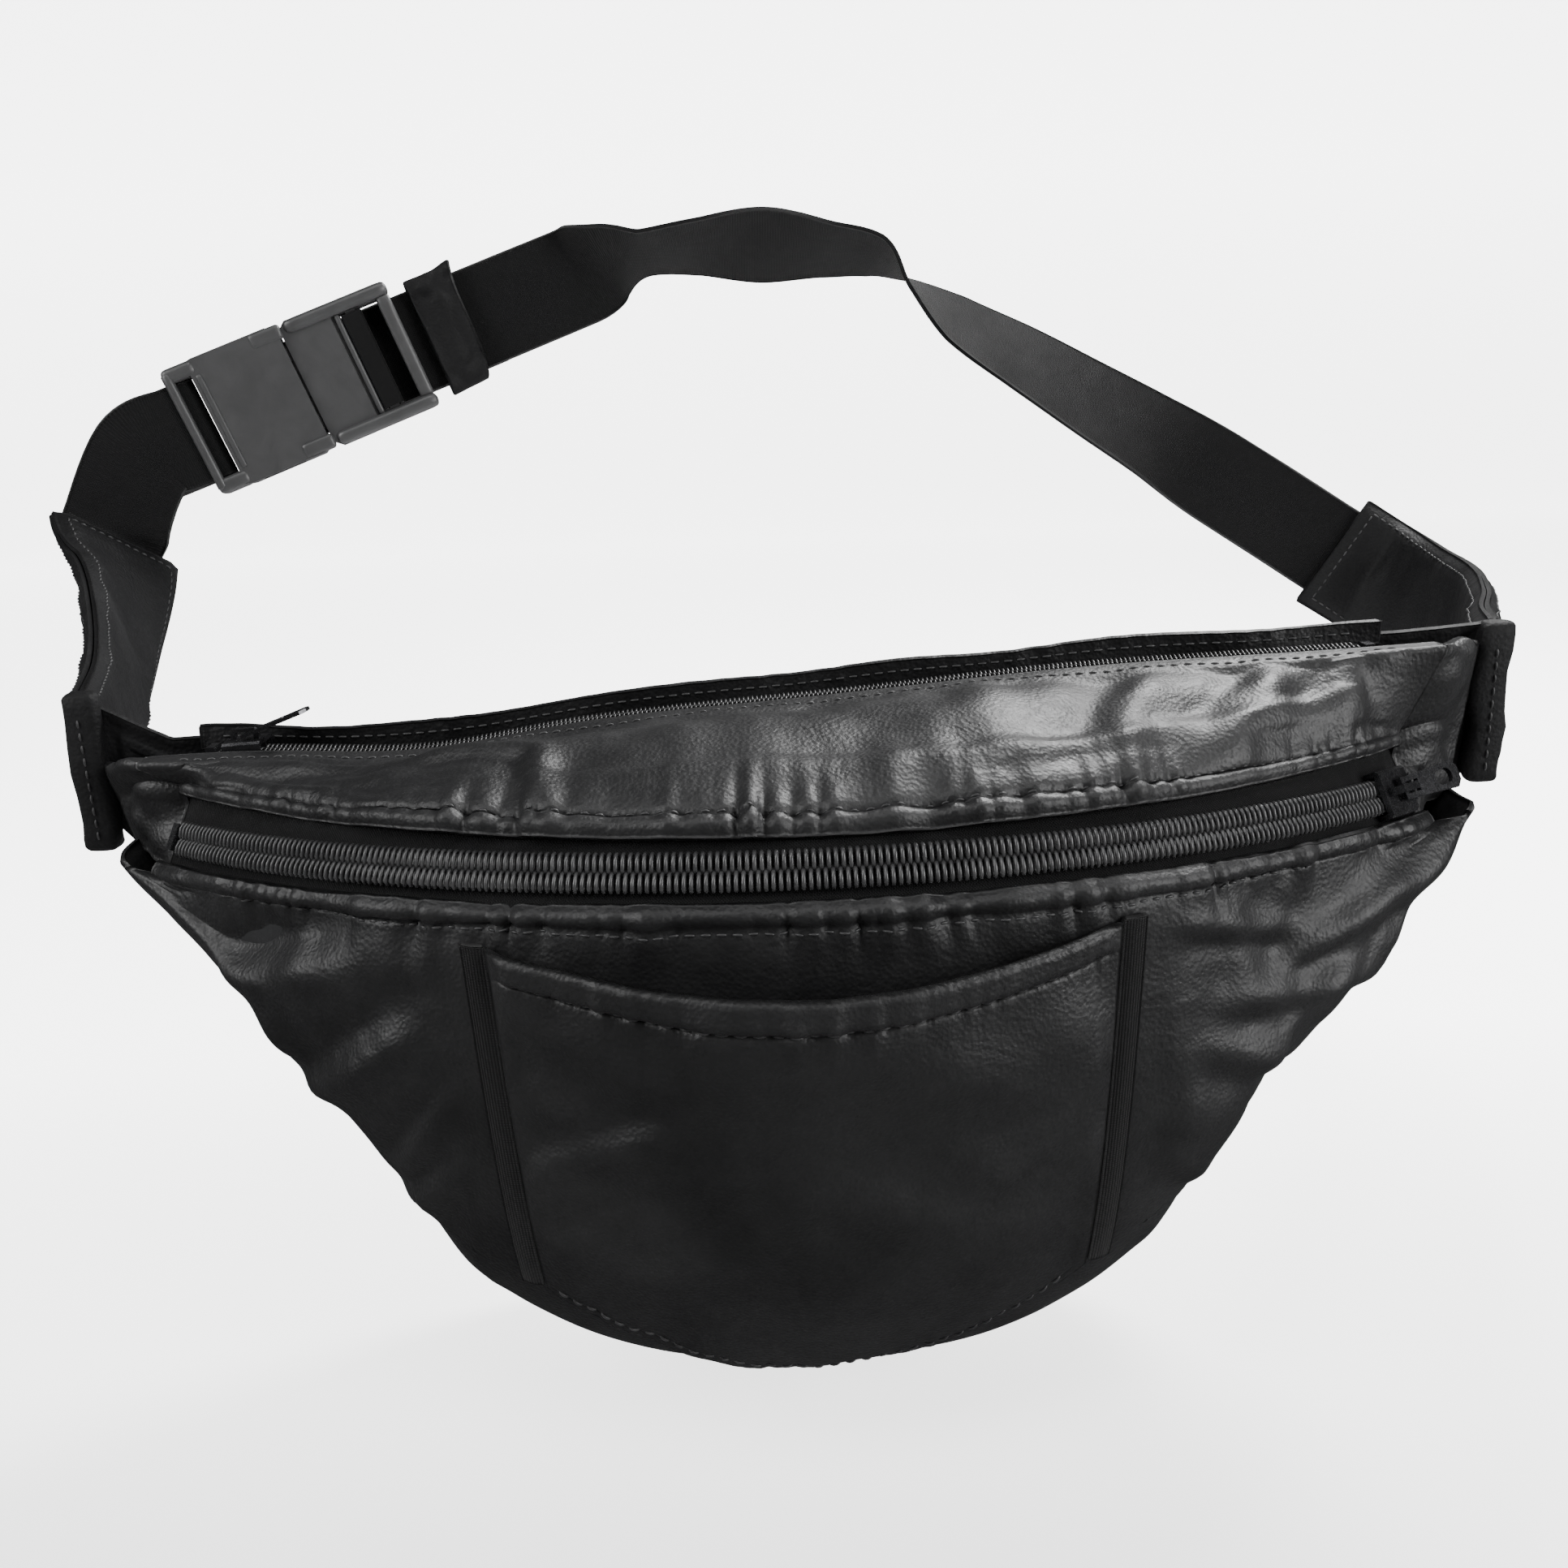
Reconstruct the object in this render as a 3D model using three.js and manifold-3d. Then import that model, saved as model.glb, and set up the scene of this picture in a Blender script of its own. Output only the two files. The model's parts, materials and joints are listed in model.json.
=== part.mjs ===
// Waist pack in soft leather: a pouch with two zips and a patch pocket, two wings, and a webbing
// belt with a side-release buckle. Millimetres. +X along the pouch, +Y towards the wearer, +Z up.
// Heights in this file are measured from the pouch's underside; addPart() lowers everything so
// that the origin is the middle of the face that lies on the wearer.
import * as THREE from 'three';
import { mergeVertices } from 'three/addons/utils/BufferGeometryUtils.js';
import Module from 'manifold-3d';

const wasm = await Module();
wasm.setup();

// ---------------------------------------------------------------- driving dimensions
const FACE_CENTRE_Z = 75;
const GAP = 0.4;
const LEATHER = 1.6;

const ZIP_RADIUS = 240;
const ZIP_FRONT_Y = -85;
const ZIP_FRONT_Z = 140;
const ZIP_PLANE_TILT = THREE.MathUtils.degToRad(6);
const ZIP_FACE_TILT = THREE.MathUtils.degToRad(25);
const ZIP_HALF_ANGLE = THREE.MathUtils.degToRad(43);
const CHAIN_SLOT = 0.6;
const CHAIN_EDGE = 4.4;
const CHAIN_TOP = 2.5;

const REAR_ZIP_Y = -9;
const REAR_ZIP_MID_Z = 160;
const REAR_ZIP_SLOPE = 0.05;
const REAR_ZIP_HALF = 152;

const POCKET_TOP_HALF = 71;
const POCKET_BOTTOM_HALF = 66;
const STRIP_WIDTH = 5.5;

const WEB_WIDTH = 38;
const WEB_THICK = 1.6;

const group = new THREE.Group();
group.name = 'waist_pack';

// ---------------------------------------------------------------- helpers
const vec = (x, y, z) => new THREE.Vector3(x, y, z);

const LOOKS = {
  leather: { color: 0x232324, roughness: 0.42, metalness: 0 },
  leatherDark: { color: 0x1c1c1d, roughness: 0.5, metalness: 0 },
  lining: { color: 0x2c2c2e, roughness: 0.9, metalness: 0 },
  foam: { color: 0x303032, roughness: 0.95, metalness: 0 },
  tape: { color: 0x161617, roughness: 0.85, metalness: 0 },
  coil: { color: 0x1d1d1f, roughness: 0.4, metalness: 0 },
  metal: { color: 0x2a2b2e, roughness: 0.3, metalness: 0.9 },
  webbing: { color: 0x171718, roughness: 0.8, metalness: 0 },
  plastic: { color: 0x2b2b2d, roughness: 0.35, metalness: 0 },
};

function signedVolume(geometry) {
  const position = geometry.attributes.position;
  const index = geometry.index;
  const a = new THREE.Vector3();
  const b = new THREE.Vector3();
  const c = new THREE.Vector3();
  let sum = 0;
  for (let i = 0; i < index.count; i += 3) {
    a.fromBufferAttribute(position, index.getX(i));
    b.fromBufferAttribute(position, index.getX(i + 1));
    c.fromBufferAttribute(position, index.getX(i + 2));
    sum += a.dot(b.cross(c));
  }
  return sum / 6;
}

// Turns a closed indexed surface so that its faces look outwards.
function facingOut(geometry) {
  if (signedVolume(geometry) < 0) {
    const index = geometry.index;
    for (let i = 0; i < index.count; i += 3) {
      const keep = index.getX(i);
      index.setX(i, index.getX(i + 1));
      index.setX(i + 1, keep);
    }
  }
  return geometry;
}

function closedSolid(points, triangles) {
  const geometry = new THREE.BufferGeometry();
  geometry.setAttribute('position', new THREE.Float32BufferAttribute(points.flatMap((p) => [p.x, p.y, p.z]), 3));
  geometry.setIndex(triangles.flat());
  return facingOut(geometry);
}

function welded(geometry) {
  const bare = geometry.clone();
  bare.deleteAttribute('normal');
  bare.deleteAttribute('uv');
  return facingOut(mergeVertices(bare, 1e-4));
}

function addPart(name, geometry, look) {
  geometry.translate(0, 0, -FACE_CENTRE_Z);
  geometry.computeVertexNormals();
  const mesh = new THREE.Mesh(geometry, new THREE.MeshStandardMaterial(LOOKS[look]));
  mesh.name = name;
  group.add(mesh);
  return mesh;
}

// Sheet between two matching grids of points, closed along its four edges.
function sheet(outer, inner) {
  const rows = outer.length;
  const columns = outer[0].length;
  const points = [...outer.flat(), ...inner.flat()];
  const front = (i, j) => i * columns + j;
  const back = (i, j) => rows * columns + i * columns + j;
  const triangles = [];
  const quad = (a, b, c, d) => triangles.push([a, b, c], [a, c, d]);
  for (let i = 0; i < rows - 1; i += 1) {
    for (let j = 0; j < columns - 1; j += 1) {
      quad(front(i, j), front(i + 1, j), front(i + 1, j + 1), front(i, j + 1));
      quad(back(i, j), back(i, j + 1), back(i + 1, j + 1), back(i + 1, j));
    }
  }
  for (let i = 0; i < rows - 1; i += 1) {
    quad(front(i, 0), back(i, 0), back(i + 1, 0), front(i + 1, 0));
    quad(front(i + 1, columns - 1), back(i + 1, columns - 1), back(i, columns - 1), front(i, columns - 1));
  }
  for (let j = 0; j < columns - 1; j += 1) {
    quad(front(0, j + 1), back(0, j + 1), back(0, j), front(0, j));
    quad(front(rows - 1, j), back(rows - 1, j), back(rows - 1, j + 1), front(rows - 1, j + 1));
  }
  return closedSolid(points, triangles);
}

function gridNormals(grid) {
  const clamp = (value, top) => Math.min(Math.max(value, 0), top);
  return grid.map((row, i) => row.map((_, j) => {
    const down = grid[clamp(i + 1, grid.length - 1)][j].clone().sub(grid[clamp(i - 1, grid.length - 1)][j]);
    const across = row[clamp(j + 1, row.length - 1)].clone().sub(row[clamp(j - 1, row.length - 1)]);
    return down.cross(across).normalize();
  }));
}

// Sheet laid along a grid, from height low to height high along the grid's own normals.
function sheetOnGrid(grid, low, high) {
  const normals = gridNormals(grid);
  const at = (height) => grid.map((row, i) => row.map((p, j) => p.clone().addScaledVector(normals[i][j], height)));
  return sheet(at(high), at(low));
}

// Triangles that fill an outline of [a, b] pairs, all turning anticlockwise.
function fillOutline(outline) {
  const flat = outline.map(([a, b]) => new THREE.Vector2(a, b));
  return THREE.ShapeUtils.triangulateShape(flat, []).map(([i, j, k]) => (
    THREE.ShapeUtils.area([flat[i], flat[j], flat[k]]) > 0 ? [i, j, k] : [i, k, j]
  ));
}

// Sweeps a closed outline of [a, b] pairs along frames {origin, a, b}.
function sweep(section, frames) {
  const clockwise = THREE.ShapeUtils.isClockWise(section.map(([a, b]) => new THREE.Vector2(a, b)));
  const outline = clockwise ? section.slice().reverse() : section;
  const count = outline.length;
  const points = frames.flatMap((frame) => outline.map(([a, b]) => (
    frame.origin.clone().addScaledVector(frame.a, a).addScaledVector(frame.b, b)
  )));
  const triangles = [];
  for (let i = 0; i < frames.length - 1; i += 1) {
    for (let j = 0; j < count; j += 1) {
      const next = (j + 1) % count;
      const a = i * count + j;
      const b = i * count + next;
      const c = (i + 1) * count + next;
      const d = (i + 1) * count + j;
      triangles.push([a, b, c], [a, c, d]);
    }
  }
  const last = (frames.length - 1) * count;
  for (const [i, j, k] of fillOutline(outline)) {
    triangles.push([i, k, j], [last + i, last + j, last + k]);
  }
  return closedSolid(points, triangles);
}

const rectangle = (a0, a1, b0, b1) => [[a0, b0], [a1, b0], [a1, b1], [a0, b1]];

function roundedRectangle(halfA, halfB, radius, steps = 3) {
  const outline = [];
  const corners = [[1, 1], [-1, 1], [-1, -1], [1, -1]];
  corners.forEach(([signA, signB], corner) => {
    for (let k = 0; k <= steps; k += 1) {
      const angle = (corner + k / steps) * Math.PI / 2;
      outline.push([
        signA * (halfA - radius) + radius * Math.cos(angle),
        signB * (halfB - radius) + radius * Math.sin(angle),
      ]);
    }
  });
  return outline;
}

function shapeFrom(outline, holes = []) {
  const shape = new THREE.Shape(outline.map(([a, b]) => new THREE.Vector2(a, b)));
  shape.holes = holes.map((hole) => new THREE.Path(hole.map(([a, b]) => new THREE.Vector2(a, b))));
  return shape;
}

// Flat plate: outline in the plane of directions a and b, from height low to high along c.
function plate(outline, low, high, basis, holes = []) {
  const geometry = new THREE.ExtrudeGeometry(shapeFrom(outline, holes), {
    depth: high - low,
    bevelEnabled: false,
    curveSegments: 6,
  });
  geometry.translate(0, 0, low);
  geometry.applyMatrix4(basis);
  return welded(geometry);
}

function basisAt(origin, a, b, c) {
  return new THREE.Matrix4().makeBasis(a, b, c).setPosition(origin);
}

function toManifold(geometry) {
  const clean = geometry.index ? geometry : welded(geometry);
  return new wasm.Manifold(new wasm.Mesh({
    numProp: 3,
    vertProperties: Float32Array.from(clean.attributes.position.array),
    triVerts: Uint32Array.from(clean.index.array),
  }));
}

function fromManifold(solid) {
  const mesh = solid.getMesh();
  const geometry = new THREE.BufferGeometry();
  geometry.setAttribute('position', new THREE.Float32BufferAttribute(Float32Array.from(mesh.vertProperties), 3));
  geometry.setIndex(Array.from(mesh.triVerts));
  return geometry;
}

// ---------------------------------------------------------------- the pouch's surfaces
const zipCentre = vec(
  0,
  ZIP_FRONT_Y + ZIP_RADIUS * Math.cos(ZIP_PLANE_TILT),
  ZIP_FRONT_Z - ZIP_RADIUS * Math.sin(ZIP_PLANE_TILT),
);
const zipAxis = vec(0, Math.sin(ZIP_PLANE_TILT), Math.cos(ZIP_PLANE_TILT));

function zipRadial(angle) {
  return vec(
    Math.sin(angle),
    -Math.cos(angle) * Math.cos(ZIP_PLANE_TILT),
    Math.cos(angle) * Math.sin(ZIP_PLANE_TILT),
  );
}

// Frame on the front zip: a runs up across the zip, b stands out from its face.
function zipFrame(angle) {
  const radial = zipRadial(angle);
  return {
    origin: zipCentre.clone().addScaledVector(radial, ZIP_RADIUS),
    a: zipAxis.clone().multiplyScalar(Math.cos(ZIP_FACE_TILT)).addScaledVector(radial, -Math.sin(ZIP_FACE_TILT)),
    b: radial.clone().multiplyScalar(Math.cos(ZIP_FACE_TILT)).addScaledVector(zipAxis, Math.sin(ZIP_FACE_TILT)),
  };
}

function onZip(angle, up, out) {
  const frame = zipFrame(angle);
  return frame.origin.addScaledVector(frame.a, up).addScaledVector(frame.b, out);
}

const rearZipZ = (x) => REAR_ZIP_MID_Z + REAR_ZIP_SLOPE * x;

// Seam of the front panel on the back panel: half outline from the middle of the underside to the end.
const seamCurve = new THREE.CatmullRomCurve3([
  vec(0, 0, -15),
  vec(40, 0, -11),
  vec(72, 0, 2),
  vec(100, 0, 26),
  vec(126, 0, 62),
  vec(153, 0, 98),
  vec(180, 0, 128),
]);

function seamPoint(s, y) {
  const p = seamCurve.getPoint(Math.abs(s));
  return vec(Math.sign(s) * p.x, y, p.z);
}

const FACE_SQUARENESS = 3.6;
const SEAM_Y = -2.8;

// Front face of the pouch: s runs from end to end, fall from the zip (0) to the seam (1, a quarter turn).
function facePoint(s, fall) {
  const top = onZip(s * ZIP_HALF_ANGLE, -11, 1.4);
  const seam = seamPoint(s, SEAM_Y);
  const turn = fall * Math.PI / 2;
  const depth = Math.cos(turn) ** (2 / FACE_SQUARENESS);
  const drop = Math.sin(turn) ** (2 / FACE_SQUARENESS);
  return vec(
    top.x + (seam.x - top.x) * drop,
    seam.y + (top.y - seam.y) * depth,
    top.z + (seam.z - top.z) * drop,
  );
}

// Depth of the front face at a given x and z.
function faceY(x, z) {
  let s = x / 175;
  let depth = 1;
  let seam = seamPoint(s, SEAM_Y);
  let top = onZip(s * ZIP_HALF_ANGLE, -11, 1.4);
  for (let pass = 0; pass < 12; pass += 1) {
    seam = seamPoint(s, SEAM_Y);
    top = onZip(s * ZIP_HALF_ANGLE, -11, 1.4);
    const drop = THREE.MathUtils.clamp((top.z - z) / (top.z - seam.z), 0, 0.995);
    depth = (1 - drop ** FACE_SQUARENESS) ** (1 / FACE_SQUARENESS);
    s += (x - (top.x + (seam.x - top.x) * drop)) / 190;
  }
  return seam.y + (top.y - seam.y) * depth;
}

// Rows down the face: by share of the drop on the flat part, then by share of the depth under the pouch.
const quarterTurn = (angle) => angle / (Math.PI / 2);
const FACE_FALLS = [
  ...[0, 0.12, 0.26, 0.4, 0.54, 0.66, 0.76].map((drop) => quarterTurn(Math.asin(drop ** (FACE_SQUARENESS / 2)))),
  ...[0.88, 0.8, 0.68, 0.5, 0.28, 0].map((depth) => quarterTurn(Math.acos(depth ** (FACE_SQUARENESS / 2)))),
];
const FACE_COLUMNS = 22;

function faceGrid(sHalf, firstRow, lastRow) {
  return FACE_FALLS.slice(firstRow, lastRow + 1).map((fall) => Array.from({ length: FACE_COLUMNS + 1 }, (_, j) => (
    facePoint(-sHalf + 2 * sHalf * j / FACE_COLUMNS, fall)
  )));
}

// ---------------------------------------------------------------- back of the pouch
const upright = basisAt(vec(0, 0, 0), vec(1, 0, 0), vec(0, 0, 1), vec(0, -1, 0));

function seamOutline(grow, count) {
  const half = Array.from({ length: count + 1 }, (_, k) => {
    const here = seamCurve.getPoint(k / count);
    const tangent = seamCurve.getTangent(k / count);
    return [here.x + tangent.z * grow, here.z - tangent.x * grow];
  });
  const mirrored = half.slice(1).reverse().map(([x, z]) => [-x, z]);
  return [...mirrored, ...half];
}

const backOutline = [
  ...seamOutline(3, 12),
  [188, 132],
  [188, 173],
  [168, 171],
  [-168, 155],
  [-188, 166],
  [-188, 132],
];
addPart('back_panel', plate(backOutline, 0, 2, upright), 'leather');

const paddingOutline = [...seamOutline(-9, 8), [160, 150], [-150, 140]];
addPart('back_padding', plate(paddingOutline, 2.4, 6, upright), 'foam');

const dividerOutline = [...seamOutline(-7, 8), [165, 150], [-155, 140]];
addPart('rear_pocket_divider', plate(dividerOutline, 12, 12.8, upright), 'lining');

const lipOutline = [[-160, rearZipZ(-160) + GAP], [160, rearZipZ(160) + GAP], [160, rearZipZ(160) + 6], [-160, rearZipZ(-160) + 6]];
addPart('rear_lip', plate(lipOutline, 2.3, 3.6, upright), 'leatherDark');

const pipingOutline = seamOutline(3.6 + GAP, 16);
const pipingCurve = new THREE.CatmullRomCurve3(pipingOutline.map(([x, z]) => vec(x, -4, z)));
const pipingFrames = Array.from({ length: 31 }, (_, k) => {
  const tangent = pipingCurve.getTangent(k / 30);
  return { origin: pipingCurve.getPoint(k / 30), a: vec(0, 1, 0), b: vec(0, 1, 0).cross(tangent).normalize() };
});
const pipingSection = roundedRectangle(1.5, 1.5, 1.45, 1);
addPart('seam_piping', sweep(pipingSection, pipingFrames), 'leatherDark');

for (const side of [-1, 1]) {
  const name = side < 0 ? 'left' : 'right';
  const top = side < 0 ? 160 : 168;
  const outline = [[176, 134], [188, 134], [188, top], [176, top - 2]].map(([x, z]) => [side * x, z]);
  addPart(`end_cap_${name}`, plate(outline, 2.4, 11, upright), 'leatherDark');
}

// ---------------------------------------------------------------- front and top of the pouch
const panelTopRow = Array.from({ length: FACE_COLUMNS + 1 }, (_, j) => (
  onZip((-1 + 2 * j / FACE_COLUMNS) * ZIP_HALF_ANGLE, -7.6, 1.4)
));
addPart('front_panel', sheetOnGrid([panelTopRow, ...faceGrid(1, 0, 12)], -LEATHER / 2, LEATHER / 2), 'leather');
addPart('main_lining', sheetOnGrid(faceGrid(0.9, 1, 10), -4, -3.2), 'lining');

const TOP_ROWS = [0, 0.045, 0.15, 0.32, 0.52, 0.72, 0.88, 1];
const TOP_BULGE = 7;

function topPoint(s, t) {
  const angle = s * ZIP_HALF_ANGLE;
  if (t === 0) {
    return onZip(angle, 11.6, 1.4);
  }
  const front = onZip(angle, 14.4, 0.9);
  const x = s * 170;
  const overTape = vec(x, REAR_ZIP_Y - 12, rearZipZ(x) + 1.5);
  if (t === 1) {
    return vec(x, REAR_ZIP_Y - 5.8, rearZipZ(x) + 1.5);
  }
  const along = (t - TOP_ROWS[1]) / (TOP_ROWS[6] - TOP_ROWS[1]);
  const point = front.lerp(overTape, along);
  point.z += TOP_BULGE * Math.sin(Math.PI * along) * (1 - s ** 4);
  return point;
}

const topGrid = TOP_ROWS.slice().reverse().map((t) => (
  Array.from({ length: FACE_COLUMNS + 1 }, (_, j) => topPoint(-1 + 2 * j / FACE_COLUMNS, t))
));
addPart('top_panel', sheetOnGrid(topGrid, -LEATHER / 2, LEATHER / 2), 'leather');

// ---------------------------------------------------------------- patch pocket
// Point on the pocket: u from edge to edge, v from the mouth (0) to the bottom (1), lift off the face.
function pocketPoint(u, v, lift, extraHalf = 0) {
  const half = POCKET_TOP_HALF + (POCKET_BOTTOM_HALF - POCKET_TOP_HALF) * v + extraHalf;
  const x = u * half + 1.5;
  const mouth = 124 - 7 * (1 - u * u);
  const bottom = -3 + 31 * u * u;
  const z = mouth + (bottom - mouth) * v;
  return vec(x, faceY(x, z) - lift, z);
}

const POCKET_LIFT = 1.9;
const MOUTH_GAPE = 8;
const POCKET_BELLY = 3.5;

function pocketLift(u, v) {
  const middle = 1 - u * u;
  return POCKET_LIFT + MOUTH_GAPE * middle * (1 - v) ** 2 + POCKET_BELLY * middle * 4 * v * (1 - v);
}

function pocketGrid(vList, rise, count = 16) {
  return vList.map((v) => Array.from({ length: count + 1 }, (_, j) => {
    const u = -1 + 2 * j / count;
    return pocketPoint(u, v, pocketLift(u, v) + rise);
  }));
}

const POCKET_ROWS = [0, 0.06, 0.18, 0.32, 0.46, 0.6, 0.72, 0.82, 0.9, 0.96, 1];
addPart('patch_pocket', sheet(pocketGrid(POCKET_ROWS, 1.3), pocketGrid(POCKET_ROWS, 0)), 'leather');
const HEM_ROWS = [0, 0.06];
addPart('pocket_hem', sheet(pocketGrid(HEM_ROWS, 3), pocketGrid(HEM_ROWS, 1.7)), 'leatherDark');

const STRIP_ROWS = [-0.01, 0.1, 0.22, 0.34, 0.46, 0.58, 0.7, 0.8, 0.88, 0.95];
for (const side of [-1, 1]) {
  const name = side < 0 ? 'left' : 'right';
  const stripGrid = (lift) => STRIP_ROWS.map((v) => [0, 0.5, 1].map((k) => (
    pocketPoint(side, v, lift, GAP + STRIP_WIDTH * k)
  )));
  addPart(`pocket_strip_${name}`, sheet(stripGrid(3.2), stripGrid(1.5)), 'webbing');
}

// ---------------------------------------------------------------- zips
function arcFrames(start, end, count) {
  return Array.from({ length: count + 1 }, (_, k) => zipFrame(start + (end - start) * k / count));
}

const FRONT_COUNT = 36;
const FRONT_END = ZIP_HALF_ANGLE - 0.012;
const tapeFrames = arcFrames(-FRONT_END, FRONT_END, FRONT_COUNT);
addPart('front_tape_upper', sweep(rectangle(1, 12.8, -0.8, 0), tapeFrames), 'tape');
addPart('front_tape_lower', sweep(rectangle(-9.5, -1, -0.8, 0), tapeFrames), 'tape');
const coilFrames = arcFrames(-FRONT_END + 0.02, FRONT_END - 0.02, FRONT_COUNT);
addPart('front_coil_upper', sweep(rectangle(CHAIN_SLOT, CHAIN_EDGE, 0.3, CHAIN_TOP), coilFrames), 'coil');
addPart('front_coil_lower', sweep(rectangle(-CHAIN_EDGE, -CHAIN_SLOT, 0.3, CHAIN_TOP), coilFrames), 'coil');
for (const side of [-1, 1]) {
  const name = side < 0 ? 'left' : 'right';
  const frames = arcFrames(side * (FRONT_END - 0.016), side * (FRONT_END - 0.006), 1);
  addPart(`front_stop_${name}`, sweep(rectangle(-3.6, 3.6, 0.3, 3), frames), 'metal');
}

const rearAlong = vec(1, 0, REAR_ZIP_SLOPE).normalize();
const rearOut = vec(-REAR_ZIP_SLOPE, 0, 1).normalize();

function rearFrames(startX, endX) {
  return [startX, endX].map((x) => ({ origin: vec(x, REAR_ZIP_Y, rearZipZ(x)), a: vec(0, 1, 0), b: rearOut }));
}

const REAR_SCALE = 0.78;
const rearTape = rearFrames(-REAR_ZIP_HALF - 6, REAR_ZIP_HALF + 6);
addPart('rear_tape_front', sweep(rectangle(-9.6, -0.8, -0.8, 0), rearTape), 'tape');
addPart('rear_tape_back', sweep(rectangle(0.8, 6.4, -0.8, 0), rearTape), 'tape');
const rearCoil = rearFrames(-REAR_ZIP_HALF, REAR_ZIP_HALF);
const rearEdge = CHAIN_EDGE * REAR_SCALE;
const rearSlot = CHAIN_SLOT * REAR_SCALE;
const rearTop = CHAIN_TOP * REAR_SCALE;
addPart('rear_coil_front', sweep(rectangle(-rearEdge, -rearSlot, 0.3, rearTop), rearCoil), 'coil');
addPart('rear_coil_back', sweep(rectangle(rearSlot, rearEdge, 0.3, rearTop), rearCoil), 'coil');
for (const side of [-1, 1]) {
  const name = side < 0 ? 'left' : 'right';
  const frames = rearFrames(side * (REAR_ZIP_HALF + 1), side * (REAR_ZIP_HALF + 3.4));
  addPart(`rear_stop_${name}`, sweep(rectangle(-2.8, 2.8, 0.3, 2.4), frames), 'metal');
}

// Slider in its own axes: x along the chain, y across it, z out from the tape.
const SLIDER_HALF = 6.5;
const BRIDGE_AXIS = 5.8;

function sliderSolid() {
  const section = [
    [-6.2, 0.4], [-4.9, 0.4], [-4.9, 2.9], [-0.3, 2.9], [-0.3, -1.6], [-5.4, -1.6], [-5.4, -2.8],
    [5.4, -2.8], [5.4, -1.6], [0.3, -1.6], [0.3, 2.9], [4.9, 2.9], [4.9, 0.4], [6.2, 0.4],
    [6.2, 3.6], [5.4, 4.4], [-5.4, 4.4], [-6.2, 3.6],
  ];
  const ends = [-SLIDER_HALF, SLIDER_HALF].map((x) => ({ origin: vec(x, 0, 0), a: vec(0, 1, 0), b: vec(0, 0, 1) }));
  const arch = [
    [-4.8, 4], [-4.8, 6.6], [-3.6, 8.1], [3.6, 8.1], [4.8, 6.6], [4.8, 4],
    [3, 4], [3, 6.9], [-3, 6.9], [-3, 4],
  ];
  const archEnds = [-1, 1].map((y) => ({ origin: vec(0, y, 0), a: vec(1, 0, 0), b: vec(0, 0, 1) }));
  return fromManifold(toManifold(sweep(section, ends)).add(toManifold(sweep(arch, archEnds))));
}

// Pull tab lying along +x from its crossbar, which sits in the slider's bridge.
function pullTabSolid() {
  const outline = [[-0.7, -2.9], [6.2, -3.1], [22, -3.7], [24, -1.9], [24, 1.9], [22, 3.7], [6.2, 3.1], [-0.7, 2.9]];
  const eye = [[0.7, -1.6], [6, -1.6], [6, 1.6], [0.7, 1.6]];
  const oval = Array.from({ length: 14 }, (_, k) => {
    const angle = -2 * Math.PI * k / 14;
    return [17.2 + 2.3 * Math.cos(angle) + (Math.cos(angle) > 0 ? 1.4 : -1.4), 2.1 * Math.sin(angle)];
  });
  return plate(outline, -0.6, 0.6, basisAt(vec(0, 0, 0), vec(1, 0, 0), vec(0, 1, 0), vec(0, 0, 1)), [eye, oval]);
}

function placeZipPull(prefix, basis, scale, tabTilt) {
  const size = new THREE.Matrix4().makeScale(scale, scale, scale);
  const slider = sliderSolid();
  slider.applyMatrix4(size).applyMatrix4(basis);
  addPart(`${prefix}_slider`, slider, 'metal');
  const tab = pullTabSolid();
  tab.rotateY(-tabTilt);
  tab.translate(0, 0, BRIDGE_AXIS);
  tab.applyMatrix4(size).applyMatrix4(basis);
  addPart(`${prefix}_pull_tab`, tab, 'metal');
}

const FRONT_SLIDER_ANGLE = FRONT_END - 0.016 - 0.034;
const sliderFrame = zipFrame(FRONT_SLIDER_ANGLE);
const sliderAlong = vec(Math.cos(FRONT_SLIDER_ANGLE), 0, 0)
  .add(vec(0, Math.cos(ZIP_PLANE_TILT), -Math.sin(ZIP_PLANE_TILT)).multiplyScalar(Math.sin(FRONT_SLIDER_ANGLE)));
placeZipPull('front', basisAt(sliderFrame.origin, sliderAlong, sliderFrame.a, sliderFrame.b), 1, 0.1);

const REAR_SLIDER_X = -REAR_ZIP_HALF + 7;
const rearSliderOrigin = vec(REAR_SLIDER_X, REAR_ZIP_Y, rearZipZ(REAR_SLIDER_X));
placeZipPull('rear', basisAt(rearSliderOrigin, rearAlong, vec(0, 1, 0), rearOut), REAR_SCALE, 0.3);

// ---------------------------------------------------------------- ribbons: wings and webbing
// samples: {point, across, half}; the ribbon lies from low to high along its own face normal.
function ribbon(samples, low, high) {
  const frames = samples.map((sample, k) => {
    const before = samples[Math.max(k - 1, 0)].point;
    const after = samples[Math.min(k + 1, samples.length - 1)].point;
    const tangent = after.clone().sub(before).normalize();
    const across = sample.across.clone().addScaledVector(tangent, -sample.across.dot(tangent)).normalize();
    return { origin: sample.point, a: across.clone().multiplyScalar(sample.half), b: across.cross(tangent) };
  });
  return sweep([[-1, low], [1, low], [1, high], [-1, high]], frames);
}

const BUCKLE_MOUTH = vec(-186, 210, 245);
const BELT_ALONG = vec(0.915, 0.22, 0.338).normalize();
const BELT_OUT = vec(0, -1, 0).addScaledVector(BELT_ALONG, BELT_ALONG.y).normalize();
const BELT_ACROSS = BELT_OUT.clone().cross(BELT_ALONG).normalize();

function onBelt(along, across, out) {
  return BUCKLE_MOUTH.clone()
    .addScaledVector(BELT_ALONG, along)
    .addScaledVector(BELT_ACROSS, across)
    .addScaledVector(BELT_OUT, out);
}

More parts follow.
